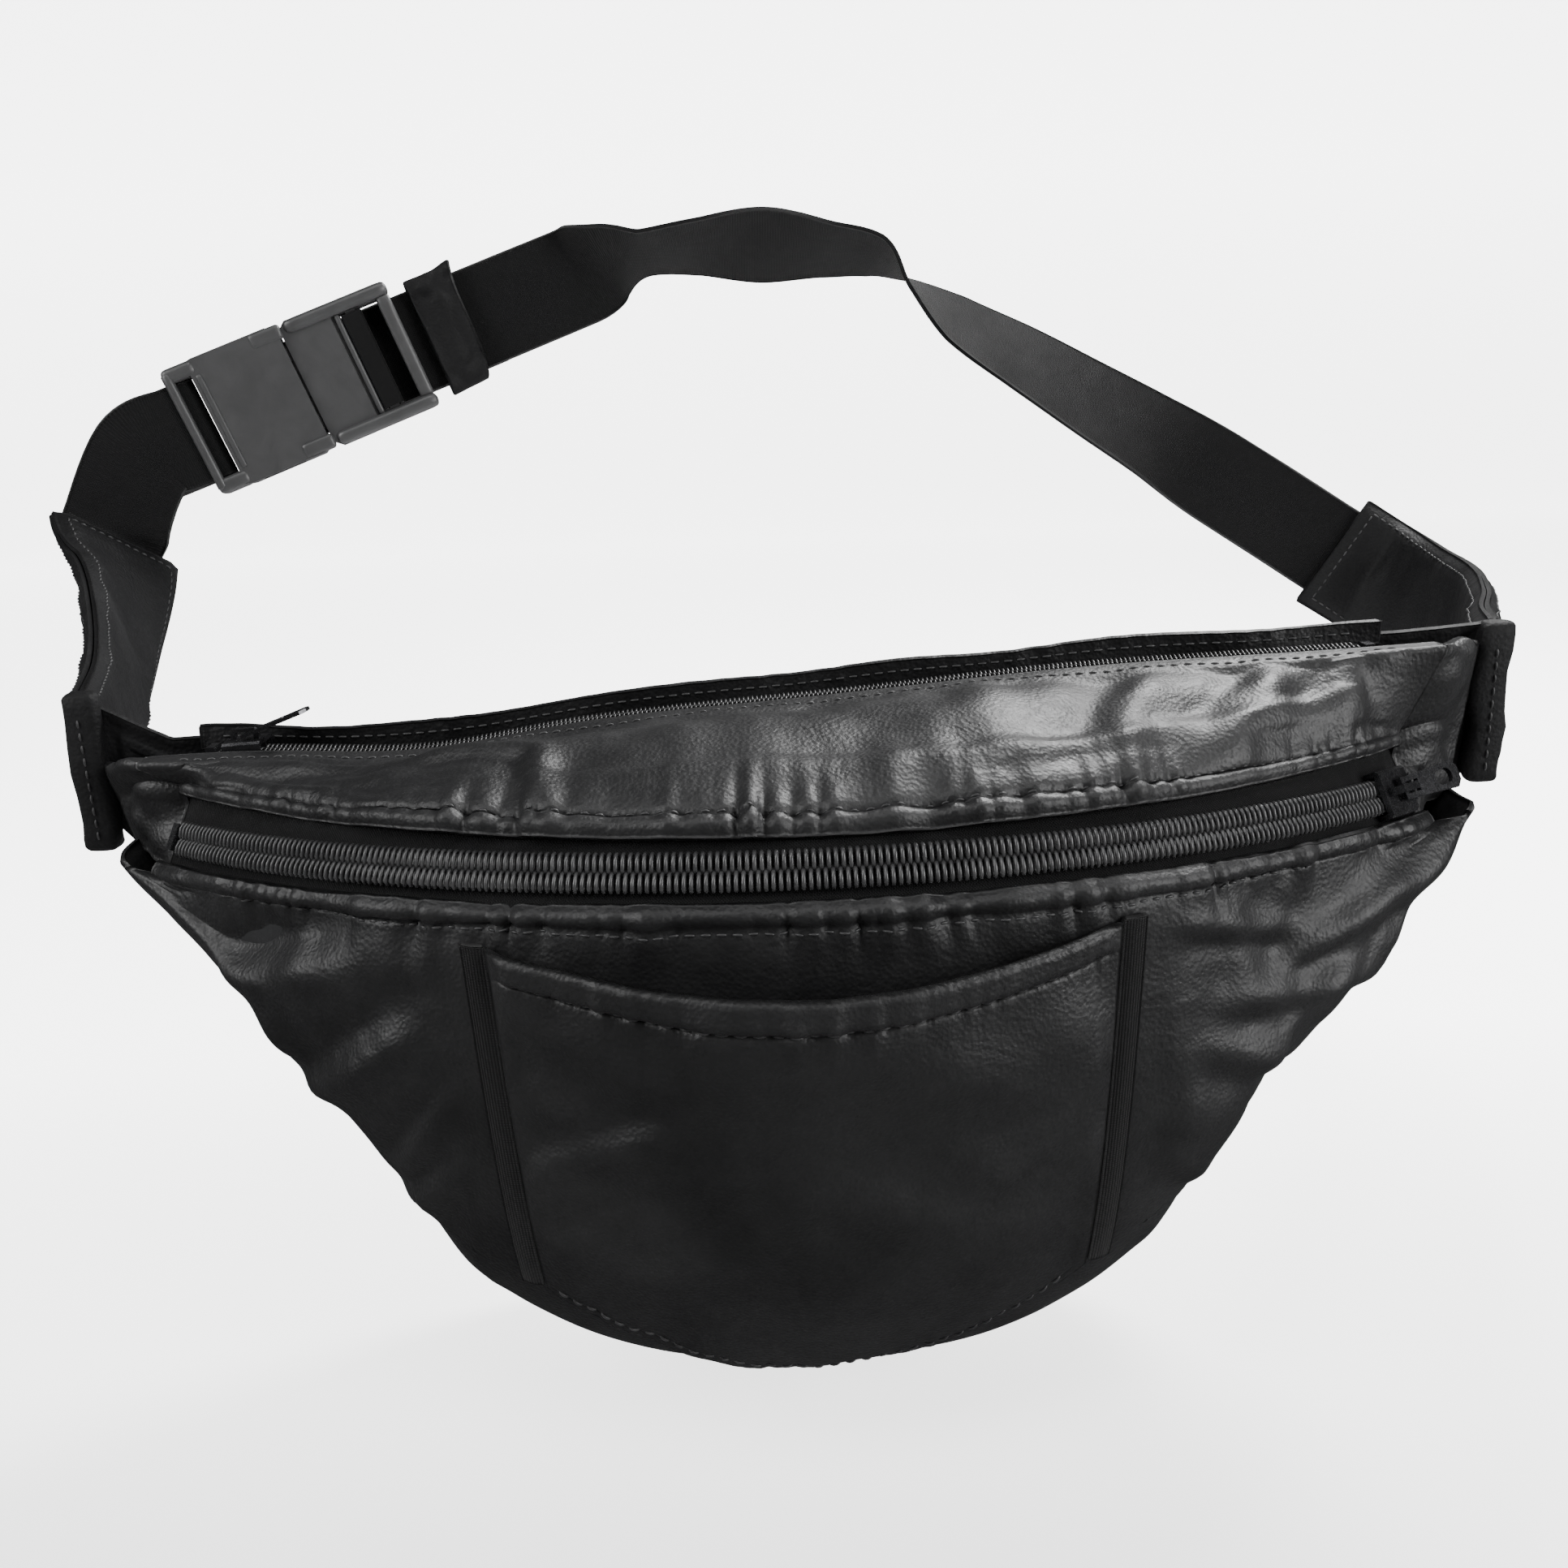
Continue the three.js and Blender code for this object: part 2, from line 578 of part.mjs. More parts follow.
const UP = vec(0, 0, 1);
const leftWingCurve = new THREE.CatmullRomCurve3([
  vec(-191.8, -1, 147),
  vec(-205, 40, 149),
  vec(-228, 100, 158),
  vec(-247, 150, 171),
  vec(-258, 180, 190),
]);
const rightWingCurve = new THREE.CatmullRomCurve3([
  vec(191.8, -1, 151),
  vec(209, 40, 147),
  vec(238, 100, 142),
  vec(260, 160, 140),
  vec(264, 205, 142),
  vec(256, 228, 149),
  vec(240, 236, 160),
]);
const leftTipAcross = vec(-0.68, 0, 0.73);
const rightTipAcross = vec(0.58, 0, 0.81);

function wingSamples(curve, tipAcross, baseHalf, tipHalf, from, to, count) {
  return Array.from({ length: count + 1 }, (_, k) => {
    const t = from + (to - from) * k / count;
    return {
      point: curve.getPoint(t),
      across: UP.clone().lerp(tipAcross, t * t),
      half: baseHalf + (tipHalf - baseHalf) * t,
    };
  });
}

const LEFT_STATIONS = 14;
const RIGHT_STATIONS = 18;
const leftWing = wingSamples(leftWingCurve, leftTipAcross, 22, 25, 0, 1, LEFT_STATIONS);
addPart('wing_left_inner', ribbon(leftWing, 1.6, 3.1), 'leather');
addPart('wing_left_outer', ribbon(leftWing, -3.1, -1.6), 'leather');
const rightWing = wingSamples(rightWingCurve, rightTipAcross, 22, 25, 0, 1, RIGHT_STATIONS);
addPart('wing_right_inner', ribbon(rightWing, -3.1, -1.6), 'leather');
addPart('wing_right_outer', ribbon(rightWing, 1.6, 3.1), 'leather');

// Point that carries straight on from a wing's tip.
function pastTip(curve, stations, distance) {
  const tip = curve.getPoint(1);
  const onward = tip.clone().sub(curve.getPoint(1 - 1 / stations)).normalize();
  return tip.addScaledVector(onward, distance);
}

// Short webbing: out of the left wing, round the socket's bar and back on itself.
const SOCKET_BAR_END = -43.6;
const BAR_TURN = 3.3;
const WEB_HALF = WEB_WIDTH / 2;
const leftWeb = wingSamples(leftWingCurve, leftTipAcross, WEB_HALF, WEB_HALF, 1 - 2 / LEFT_STATIONS, 1, 2);
const leftWebRise = new THREE.CatmullRomCurve3([
  leftWingCurve.getPoint(1),
  pastTip(leftWingCurve, LEFT_STATIONS, 7),
  onBelt(-66, 0, 3.6),
  onBelt(-52, 0, BAR_TURN),
]);
for (const t of [0.17, 0.33, 0.45, 0.55, 0.66, 0.83, 1]) {
  leftWeb.push({
    point: leftWebRise.getPoint(t),
    across: leftTipAcross.clone().lerp(BELT_ACROSS, THREE.MathUtils.clamp((t - 0.33) / 0.4, 0, 1)),
    half: WEB_HALF,
  });
}
for (let k = 0; k <= 8; k += 1) {
  const angle = Math.PI * k / 8;
  leftWeb.push({
    point: onBelt(SOCKET_BAR_END + BAR_TURN * Math.sin(angle), 0, BAR_TURN * Math.cos(angle)),
    across: BELT_ACROSS,
    half: WEB_HALF,
  });
}
leftWeb.push({ point: onBelt(-54, 0, -BAR_TURN), across: BELT_ACROSS, half: WEB_HALF });
leftWeb.push({ point: onBelt(-64, 0, -BAR_TURN + 2.4), across: BELT_ACROSS, half: WEB_HALF });
addPart('webbing_left', ribbon(leftWeb, -WEB_THICK / 2, WEB_THICK / 2), 'webbing');

// Long webbing: straight behind the plug and keeper, then a half twist and down to the right wing.
const MAIN_OUT = -4.8;
const TAIL_OUT = -6.8;
const STRAIGHT_START = 23.5;
const STRAIGHT_END = 118;
const TAIL_END = 80;
const webControls = [
  { point: onBelt(STRAIGHT_END - 8, 0, MAIN_OUT), twist: 0 },
  { point: onBelt(STRAIGHT_END, 0, MAIN_OUT), twist: 0 },
  { point: vec(-64, 236.7, 289.8), twist: 44 },
  { point: vec(-49, 237, 292.6), twist: 68 },
  { point: vec(-28, 237, 293.8), twist: 61 },
  { point: vec(-2, 237, 293.2), twist: 47 },
  { point: vec(24, 237, 290.8), twist: 61 },
  { point: vec(44, 237, 288), twist: 70 },
  { point: vec(58, 237, 277), twist: 98 },
  { point: vec(77, 237, 262), twist: 122 },
  { point: vec(104, 237, 246.5), twist: 134 },
  { point: vec(132, 237, 229), twist: 144 },
  { point: vec(160, 237, 212), twist: 154 },
  { point: vec(188, 237, 194), twist: 172 },
  { point: pastTip(rightWingCurve, RIGHT_STATIONS, 7), twist: 180 },
  { point: rightWingCurve.getPoint(1), twist: 180 },
];
const webPath = new THREE.CatmullRomCurve3(webControls.map((control) => control.point));
const webTwist = new THREE.CatmullRomCurve3(webControls.map((control) => vec(control.twist, 0, 0)));

function acrossWithTwist(tangent, degrees) {
  const out = vec(0, -1, 0).addScaledVector(tangent, tangent.y).normalize();
  return out.cross(tangent).normalize().applyAxisAngle(tangent, THREE.MathUtils.degToRad(degrees));
}

const mainWeb = [STRAIGHT_START, 62, STRAIGHT_END - 4].map((along) => (
  { point: onBelt(along, 0, MAIN_OUT), across: BELT_ACROSS, half: WEB_HALF }
));
const WEB_STEPS = 75;
for (let k = WEB_STEPS / 15 + 1; k <= WEB_STEPS; k += 1) {
  const t = k / WEB_STEPS;
  mainWeb.push({
    point: webPath.getPoint(t),
    across: acrossWithTwist(webPath.getTangent(t), webTwist.getPoint(t).x),
    half: WEB_HALF,
  });
}
const inRightWing = wingSamples(rightWingCurve, rightTipAcross, WEB_HALF, WEB_HALF, 1, 1 - 2 / RIGHT_STATIONS, 2);
for (const sample of inRightWing.slice(1)) {
  mainWeb.push({ ...sample, across: sample.across.negate() });
}
addPart('webbing_main', ribbon(mainWeb, -WEB_THICK / 2, WEB_THICK / 2), 'webbing');
const tailWeb = [STRAIGHT_START, TAIL_END].map((along) => (
  { point: onBelt(along, 0, TAIL_OUT), across: BELT_ACROSS, half: WEB_HALF }
));
addPart('webbing_tail', ribbon(tailWeb, -WEB_THICK / 2, WEB_THICK / 2), 'webbing');

// ---------------------------------------------------------------- side-release buckle
// Local axes: along the belt from the socket's mouth, across the belt, out from its face.
const beltFace = basisAt(BUCKLE_MOUTH, BELT_ALONG, BELT_ACROSS, BELT_OUT);
const beltEdge = basisAt(BUCKLE_MOUTH, BELT_ALONG, BELT_OUT, BELT_ACROSS.clone().negate());
const beltEnd = basisAt(BUCKLE_MOUTH, BELT_ACROSS, BELT_OUT, BELT_ALONG);
const BUCKLE_HALF = 25.5;
const BAR_HALF = 20;

function cut(solid, ...tools) {
  return tools.reduce((left, tool) => left.subtract(toManifold(tool)), solid);
}

const socketOutline = [
  [0, -23], [0, 23], [-4, BUCKLE_HALF], [-34, BUCKLE_HALF], [-47.5, 23], [-47.5, -23], [-34, -BUCKLE_HALF], [-4, -BUCKLE_HALF],
];
const socketBody = toManifold(plate(socketOutline, -6, 6, beltFace));
const socketLow = rectangle(-60, -37, 2.2, 10);
const socketHigh = rectangle(-60, -37, -10, -2.2);
addPart('buckle_socket', fromManifold(cut(
  socketBody,
  plate(rectangle(-33, 5, -19.6, 19.6), -3.8, 3.8, beltFace),
  plate(rectangle(-30, -12.5, -30, 30), -3.8, 3.8, beltFace),
  plate(rectangle(-43.2, -37.2, -BAR_HALF, BAR_HALF), -10, 10, beltFace),
  plate(socketLow, -BAR_HALF, BAR_HALF, beltEdge),
  plate(socketHigh, -BAR_HALF, BAR_HALF, beltEdge),
)), 'plastic');

const plugOutline = [
  [1, -23], [1, 23], [4, BUCKLE_HALF], [18, BUCKLE_HALF], [24, 24], [42, 23.6], [45, 21],
  [45, -21], [42, -23.6], [24, -24], [18, -BUCKLE_HALF], [4, -BUCKLE_HALF],
];
const plugTongue = rectangle(-24, 1.5, -3.5, 3.5);
addPart('buckle_plug', fromManifold(cut(
  toManifold(plate(plugOutline, -3.6, 4.2, beltFace)),
  plate(rectangle(24, 27, -BAR_HALF, BAR_HALF), -10, 10, beltFace),
  plate(rectangle(31, 40, -BAR_HALF, BAR_HALF), -10, 10, beltFace),
  plate(rectangle(21, 50, 2.8, 10), -30, 30, beltEdge),
  plate(rectangle(25, 33, -10, -1), -BAR_HALF, BAR_HALF, beltEdge),
).add(toManifold(plate(plugTongue, -2.6, 2.6, beltFace)))), 'plastic');

const prongOutline = [
  [0.6, 11], [0.6, 17], [-8, 17.4], [-13.6, 18.2], [-14.2, 24.2], [-22, 24.8], [-27, 19.2], [-29, 14.6], [-27, 12.6], [-14, 12.6],
];
for (const side of [1, -1]) {
  const name = side > 0 ? 'upper' : 'lower';
  const outline = prongOutline.map(([along, across]) => [along, side * across]);
  addPart(`prong_${name}`, plate(outline, -3, 3, beltFace), 'plastic');
}

const loopOutline = [
  [24.9, -3.7], [26.5, -3.7], [26.5, 3.2], [31.5, 3.2], [31.5, -3.7], [33.1, -3.7], [33.1, 4.2], [32.5, 4.8], [25.5, 4.8], [24.9, 4.2],
];
addPart('webbing_bar_loop', plate(loopOutline, -WEB_WIDTH / 2, WEB_WIDTH / 2, beltEdge), 'webbing');

const KEEPER_START = 52;
const KEEPER_LENGTH = 18;
const keeperOuter = roundedRectangle(21.4, 4.4, 1.6, 2).map(([across, out]) => [across, out + (MAIN_OUT + TAIL_OUT) / 2]);
const keeperInner = rectangle(-19.8, 19.8, -2.9, 2.9).map(([across, out]) => [across, out + (MAIN_OUT + TAIL_OUT) / 2]);
addPart('strap_keeper', plate(keeperOuter, KEEPER_START, KEEPER_START + KEEPER_LENGTH, beltEnd, [keeperInner]), 'leatherDark');

export default group;
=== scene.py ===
"""Looks of a soft leather waist pack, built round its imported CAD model. Lengths are in metres."""

import json
import math

import bpy
import numpy as np
from mathutils import Matrix, Vector


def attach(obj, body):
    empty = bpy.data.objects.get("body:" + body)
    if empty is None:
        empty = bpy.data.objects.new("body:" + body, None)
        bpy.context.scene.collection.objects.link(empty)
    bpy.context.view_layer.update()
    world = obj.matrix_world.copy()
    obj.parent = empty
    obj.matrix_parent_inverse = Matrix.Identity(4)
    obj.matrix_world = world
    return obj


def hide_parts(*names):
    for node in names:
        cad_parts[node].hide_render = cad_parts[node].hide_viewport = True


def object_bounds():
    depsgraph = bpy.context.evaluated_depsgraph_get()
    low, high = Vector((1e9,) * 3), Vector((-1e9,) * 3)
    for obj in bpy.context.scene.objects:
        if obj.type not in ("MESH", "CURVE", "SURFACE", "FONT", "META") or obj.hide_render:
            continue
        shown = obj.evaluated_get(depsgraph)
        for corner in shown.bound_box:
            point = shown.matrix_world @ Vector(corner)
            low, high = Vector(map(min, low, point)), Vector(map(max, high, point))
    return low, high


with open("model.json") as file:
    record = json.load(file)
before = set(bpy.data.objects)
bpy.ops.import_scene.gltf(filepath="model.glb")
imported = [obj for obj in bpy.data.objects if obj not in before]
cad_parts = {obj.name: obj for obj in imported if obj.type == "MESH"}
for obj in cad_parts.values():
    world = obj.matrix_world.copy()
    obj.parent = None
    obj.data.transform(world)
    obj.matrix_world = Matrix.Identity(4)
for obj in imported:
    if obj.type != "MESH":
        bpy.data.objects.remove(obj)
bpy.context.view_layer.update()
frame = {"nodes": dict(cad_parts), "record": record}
MM = 0.001
FACE_CENTRE_Z = 75
ROOT = "pouch_and_belt"
joints = {joint["name"]: joint for joint in frame["record"]["behaviour"]["joints"]}


# ---------------------------------------------------------------- small maths
def vec(*values):
    return np.array(values, dtype=float)


def unit(v):
    v = np.asarray(v, dtype=float)
    return v / np.maximum(np.linalg.norm(v, axis=-1, keepdims=True), 1e-12)


def smooth_step(x, low, high):
    t = np.clip((np.asarray(x, dtype=float) - low) / (high - low), 0, 1)
    return t * t * (3 - 2 * t)


def lengths_along(points):
    """Distance from the first point to each point, along the line through them."""
    return np.r_[0, np.cumsum(np.linalg.norm(np.diff(points, axis=0), axis=1))]


def at_places(values, lengths, places):
    """Points or vectors read off at places along a line whose points lie at the given lengths."""
    return np.stack([np.interp(places, lengths, values[:, k]) for k in range(3)], axis=-1)


class Ripple:
    """Smooth, repeatable noise: a sum of waves of about the given length, in the units of its inputs."""

    def __init__(self, seed, length, dimensions=2, count=14, spread=0.5):
        rng = np.random.default_rng(seed)
        directions = unit(rng.normal(size=(count, dimensions)))
        lengths = length * rng.uniform(1 - spread, 1 + spread, size=(count, 1))
        self.waves = directions * 2 * np.pi / lengths
        self.phases = rng.uniform(0, 2 * np.pi, size=count)
        self.scale = math.sqrt(2 / count)

    def __call__(self, *coordinates):
        stacked = np.stack(np.broadcast_arrays(*coordinates), axis=-1)
        return np.sin(stacked @ self.waves.T + self.phases).sum(axis=-1) * self.scale


class Curve:
    """Centripetal Catmull-Rom curve through points, the same kind as the CAD's."""

    def __init__(self, points):
        self.points = np.array(points, dtype=float)

    def at(self, t):
        return np.array([self._at(float(x)) for x in np.atleast_1d(t)])

    def _at(self, t):
        pts = self.points
        place = (len(pts) - 1) * t
        k = min(int(math.floor(place)), len(pts) - 2)
        w = place - k
        p1, p2 = pts[k], pts[k + 1]
        p0 = pts[k - 1] if k > 0 else 2 * pts[0] - pts[1]
        p3 = pts[k + 2] if k + 2 < len(pts) else 2 * pts[-1] - pts[-2]
        gaps = [np.linalg.norm(b - a) ** 0.5 for a, b in ((p0, p1), (p1, p2), (p2, p3))]
        if gaps[1] < 1e-4:
            gaps[1] = 1.0
        gaps[0] = gaps[0] if gaps[0] >= 1e-4 else gaps[1]
        gaps[2] = gaps[2] if gaps[2] >= 1e-4 else gaps[1]
        g0, g1, g2 = gaps
        m1 = ((p1 - p0) / g0 - (p2 - p0) / (g0 + g1) + (p2 - p1) / g1) * g1
        m2 = ((p2 - p1) / g1 - (p3 - p1) / (g1 + g2) + (p3 - p2) / g2) * g1
        return p1 + m1 * w + (3 * (p2 - p1) - 2 * m1 - m2) * w**2 + (2 * (p1 - p2) + m1 + m2) * w**3


# ---------------------------------------------------------------- the pouch's surfaces, in CAD millimetres
zip_joint = joints["front_zip_travel"]
ZIP_CENTRE = vec(*zip_joint["pos_m"]) / MM + vec(0, 0, FACE_CENTRE_Z)
ZIP_AXIS = unit(vec(*zip_joint["axis"]))
ZIP_RADIUS = 240
ZIP_FACE_TILT = math.radians(25)
ZIP_HALF_ANGLE = math.radians(43)
ZIP_END = ZIP_HALF_ANGLE - 0.012
FACE_SQUARENESS = 3.6
SIDE_LEAN = 8
REAR_ZIP_Y = -9
REAR_ZIP_SLOPE = 0.05
REAR_SAG = 4.5
REAR_RISE = 1.8
REAR_SCALE = 0.78
POCKET_TOP_HALF = 71
POCKET_BOTTOM_HALF = 66


def on_zip(angle, up, out):
    angle, up, out = np.broadcast_arrays(angle, up, out)
    forward = vec(0, -ZIP_AXIS[2], ZIP_AXIS[1])
    radial = np.sin(angle)[..., None] * vec(1, 0, 0) + np.cos(angle)[..., None] * forward
    reach = ZIP_RADIUS - up * math.sin(ZIP_FACE_TILT) + out * math.cos(ZIP_FACE_TILT)
    height = up * math.cos(ZIP_FACE_TILT) + out * math.sin(ZIP_FACE_TILT)
    return ZIP_CENTRE + radial * reach[..., None] + ZIP_AXIS * height[..., None]


def rear_zip_z(x):
    """Height of the rear zip: the soft top edge sags at the left and rises a little right of the middle."""
    sag = REAR_SAG * np.exp(-(((x + 98) / 36) ** 2)) - REAR_RISE * np.exp(-(((x - 78) / 55) ** 2))
    return 160 + REAR_ZIP_SLOPE * x - sag


SEAM = Curve([(0, -15), (40, -11), (72, 2), (100, 26), (126, 62), (153, 98), (180, 128)])
_seam_t = np.linspace(0, 1, 241)
_seam_xz = SEAM.at(_seam_t)


def seam_point(s):
    """x and z of the seam between the front panel and the back, s from -1 to 1."""
    t = np.abs(s)
    return np.sign(s) * np.interp(t, _seam_t, _seam_xz[:, 0]), np.interp(t, _seam_t, _seam_xz[:, 1])


def face_point(s, drop, depth):
    """Point on the front face: drop is the share fallen from zip to seam, depth that of the pouch's depth."""
    s, drop, depth = np.broadcast_arrays(s, drop, depth)
    top = on_zip(s * ZIP_HALF_ANGLE, -11, 1.4)
    seam_x, seam_z = seam_point(s)
    x = top[..., 0] + (seam_x - top[..., 0]) * drop
    y = -2.8 + (top[..., 1] + 2.8) * depth
    z = top[..., 2] + (seam_z - top[..., 2]) * drop
    loose = smooth_step(drop, 0.1, 0.6) * (1 - smooth_step(drop, 0.86, 1)) * smooth_step(np.abs(s), 0.5, 0.8)
    lean = SIDE_LEAN * loose * np.exp(-(((z - 96) / 30) ** 2)) * (s > 0)
    return np.stack([x + lean, y, z], axis=-1)


def face_y(x, z):
    """Depth of the front face at x and z."""
    x, z = np.broadcast_arrays(np.asarray(x, float), np.asarray(z, float))
    s = x / 175
    for _ in range(14):
        top = on_zip(s * ZIP_HALF_ANGLE, -11, 1.4)
        seam_x, seam_z = seam_point(s)
        drop = np.clip((top[..., 2] - z) / (top[..., 2] - seam_z), 0, 0.995)
        s = s + (x - (top[..., 0] + (seam_x - top[..., 0]) * drop)) / 190
    depth = (1 - drop**FACE_SQUARENESS) ** (1 / FACE_SQUARENESS)
    return -2.8 + (top[..., 1] + 2.8) * depth


# ---------------------------------------------------------------- materials
def new_material(name):
    material = bpy.data.materials.new(name)
    material.use_nodes = True
    tree = material.node_tree
    shader = tree.nodes["Principled BSDF"]
    return material, tree, shader


def node(tree, kind, **inputs):
    made = tree.nodes.new(kind)
    for key, value in inputs.items():
        label = key.replace("_", " ")
        if label in made.inputs:
            made.inputs[label].default_value = value
        else:
            setattr(made, key, value)
    return made


def coordinates(tree, output="Object", scale=1.0):
    source = tree.nodes.new("ShaderNodeTexCoord")
    mapping = node(tree, "ShaderNodeMapping")
    mapping.inputs["Scale"].default_value = (scale, scale, scale) if np.isscalar(scale) else scale
    tree.links.new(source.outputs[output], mapping.inputs["Vector"])
    return mapping.outputs["Vector"]


def ramp(tree, source, low, high, low_value, high_value):
    made = tree.nodes.new("ShaderNodeMapRange")
    for key, value in (("From Min", low), ("From Max", high), ("To Min", low_value), ("To Max", high_value)):
        made.inputs[key].default_value = value
    tree.links.new(source, made.inputs["Value"])
    return made.outputs["Result"]


def mixed_colour(tree, factor, first, second):
    made = tree.nodes.new("ShaderNodeMix")
    made.data_type = "RGBA"
    made.inputs["A"].default_value = (*first, 1)
    made.inputs["B"].default_value = (*second, 1)
    tree.links.new(factor, made.inputs["Factor"])
    return made.outputs["Result"]


def bump_chain(tree, shader, layers):
    """layers: (height socket, strength, distance); each builds on the one before."""
    normal = None
    for height, strength, distance in layers:
        bump = node(tree, "ShaderNodeBump", Strength=strength, Distance=distance)
        tree.links.new(height, bump.inputs["Height"])
        if normal is not None:
            tree.links.new(normal, bump.inputs["Normal"])
        normal = bump.outputs["Normal"]
    tree.links.new(normal, shader.inputs["Normal"])


def leather(name, dark, light, roughness, grain=1.0, creases=1.0, gloss=0.42):
    """Soft grained leather: fine cells, long soft creases, uneven sheen and slightly paler rubbed areas."""
    material, tree, shader = new_material(name)
    here = coordinates(tree)
    cells = node(tree, "ShaderNodeTexVoronoi", feature="SMOOTH_F1", Scale=950.0, Smoothness=0.6)
    fine = node(tree, "ShaderNodeTexNoise", Scale=2400.0, Detail=4.0, Roughness=0.6)
    folds = node(tree, "ShaderNodeTexNoise", Scale=48.0, Detail=7.0, Roughness=0.58, Distortion=0.7)
    clouds = node(tree, "ShaderNodeTexNoise", Scale=22.0, Detail=5.0, Roughness=0.6)
    scuffs = node(tree, "ShaderNodeTexNoise", Scale=180.0, Detail=8.0, Roughness=0.7, Distortion=1.2)
    for texture in (cells, fine, folds, clouds, scuffs):
        tree.links.new(here, texture.inputs["Vector"])
    blend = ramp(tree, clouds.outputs["Fac"], 0.3, 0.72, 0.0, 1.0)
    tree.links.new(mixed_colour(tree, blend, dark, light), shader.inputs["Base Color"])
    uneven = node(tree, "ShaderNodeMath", operation="MULTIPLY_ADD")
    tree.links.new(scuffs.outputs["Fac"], uneven.inputs[0])
    uneven.inputs[1].default_value = 0.3
    cloudy = ramp(tree, clouds.outputs["Fac"], 0.3, 0.7, roughness - 0.2, roughness - 0.1)
    tree.links.new(cloudy, uneven.inputs[2])
    tree.links.new(uneven.outputs["Value"], shader.inputs["Roughness"])
    shader.inputs["Specular IOR Level"].default_value = gloss
    bump_chain(tree, shader, [
        (folds.outputs["Fac"], 0.3 * creases, 0.0025),
        (cells.outputs["Distance"], 0.35 * grain, 0.0004),
        (fine.outputs["Fac"], 0.3 * grain, 0.0002),
    ])
    return material


def woven(name, dark, light, rib_across, rib_along, roughness=0.85, strength=0.8, diagonal=False):
    """Woven tape or webbing on a UV map in metres: ribs of the two given pitches, with a fibrous surface."""
    material, tree, shader = new_material(name)
    across = coordinates(tree, "UV", (1 / rib_across, 1 / rib_along, 1))
    ribs = node(tree, "ShaderNodeTexWave", wave_type="BANDS", Scale=1.0, Distortion=0.25, Detail=1.0)
    ribs.bands_direction = "DIAGONAL" if diagonal else "Y"
    picks = node(tree, "ShaderNodeTexWave", wave_type="BANDS", Scale=1.0, Distortion=0.3, Detail=1.0)
    picks.bands_direction = "X"
    for texture in (ribs, picks):
        tree.links.new(across, texture.inputs["Vector"])
    here = coordinates(tree)
    fibre = node(tree, "ShaderNodeTexNoise", Scale=3000.0, Detail=3.0, Roughness=0.7)
    clouds = node(tree, "ShaderNodeTexNoise", Scale=60.0, Detail=5.0, Roughness=0.65)
    for texture in (fibre, clouds):
        tree.links.new(here, texture.inputs["Vector"])
    weave = node(tree, "ShaderNodeMath", operation="MULTIPLY")
    tree.links.new(ribs.outputs["Fac"], weave.inputs[0])
    tree.links.new(picks.outputs["Fac"], weave.inputs[1])
    shade = node(tree, "ShaderNodeMath", operation="MULTIPLY")
    tree.links.new(weave.outputs["Value"], shade.inputs[0])
    tree.links.new(ramp(tree, clouds.outputs["Fac"], 0.3, 0.7, 0.5, 1.0), shade.inputs[1])
    tree.links.new(mixed_colour(tree, shade.outputs["Value"], dark, light), shader.inputs["Base Color"])
    worn = ramp(tree, clouds.outputs["Fac"], 0.3, 0.7, roughness - 0.1, roughness)
    tree.links.new(worn, shader.inputs["Roughness"])
    shader.inputs["Sheen Weight"].default_value = 0.04
    shader.inputs["Specular IOR Level"].default_value = 0.2
    shader.inputs["Sheen Roughness"].default_value = 0.4
    bump_chain(tree, shader, [
        (weave.outputs["Value"], strength, 0.0004),
        (fibre.outputs["Fac"], 0.25, 0.00015),
    ])
    return material


def moulded(name, dark, light, roughness, metallic=0.0):
    """Moulded plastic or plated metal with a faint texture, flow marks and small handling marks."""
    material, tree, shader = new_material(name)
    here = coordinates(tree)
    fine = node(tree, "ShaderNodeTexNoise", Scale=2600.0, Detail=3.0, Roughness=0.6)
    clouds = node(tree, "ShaderNodeTexNoise", Scale=90.0, Detail=5.0, Roughness=0.6, Distortion=0.6)
    marks = node(tree, "ShaderNodeTexNoise", Scale=420.0, Detail=8.0, Roughness=0.75, Distortion=2.0)
    for texture in (fine, clouds, marks):
        tree.links.new(here, texture.inputs["Vector"])
    blend = ramp(tree, clouds.outputs["Fac"], 0.3, 0.7, 0.0, 1.0)
    tree.links.new(mixed_colour(tree, blend, dark, light), shader.inputs["Base Color"])
    handled = ramp(tree, marks.outputs["Fac"], 0.35, 0.75, roughness - 0.07, roughness + 0.12)
    tree.links.new(handled, shader.inputs["Roughness"])
    shader.inputs["Metallic"].default_value = metallic
    bump_chain(tree, shader, [(fine.outputs["Fac"], 0.12, 0.0002), (marks.outputs["Fac"], 0.05, 0.0002)])
    return material


LEATHER = leather("soft_leather", (0.0068, 0.0068, 0.0072), (0.0125, 0.0125, 0.013), 0.5)
LEATHER_MATT = leather("matt_leather", (0.005, 0.005, 0.0053), (0.009, 0.009, 0.0094), 0.62,
                       grain=1.3, creases=1.3, gloss=0.16)
LEATHER_EDGE = leather("folded_edge_leather", (0.005, 0.005, 0.0053), (0.009, 0.009, 0.0094), 0.5,
                       grain=1.2, gloss=0.25)
WEBBING = woven("belt_webbing", (0.003, 0.003, 0.0032), (0.0085, 0.0085, 0.009), 0.0021, 0.0013)
TAPE = woven("zip_tape", (0.002, 0.002, 0.0022), (0.011, 0.011, 0.0115), 0.0012, 0.0012, diagonal=True)
LINING = woven("lining_cloth", (0.014, 0.014, 0.015), (0.03, 0.03, 0.032), 0.0007, 0.0007, strength=0.5)
PLASTIC = moulded("buckle_plastic", (0.034, 0.034, 0.0347), (0.046, 0.046, 0.0468), 0.4)
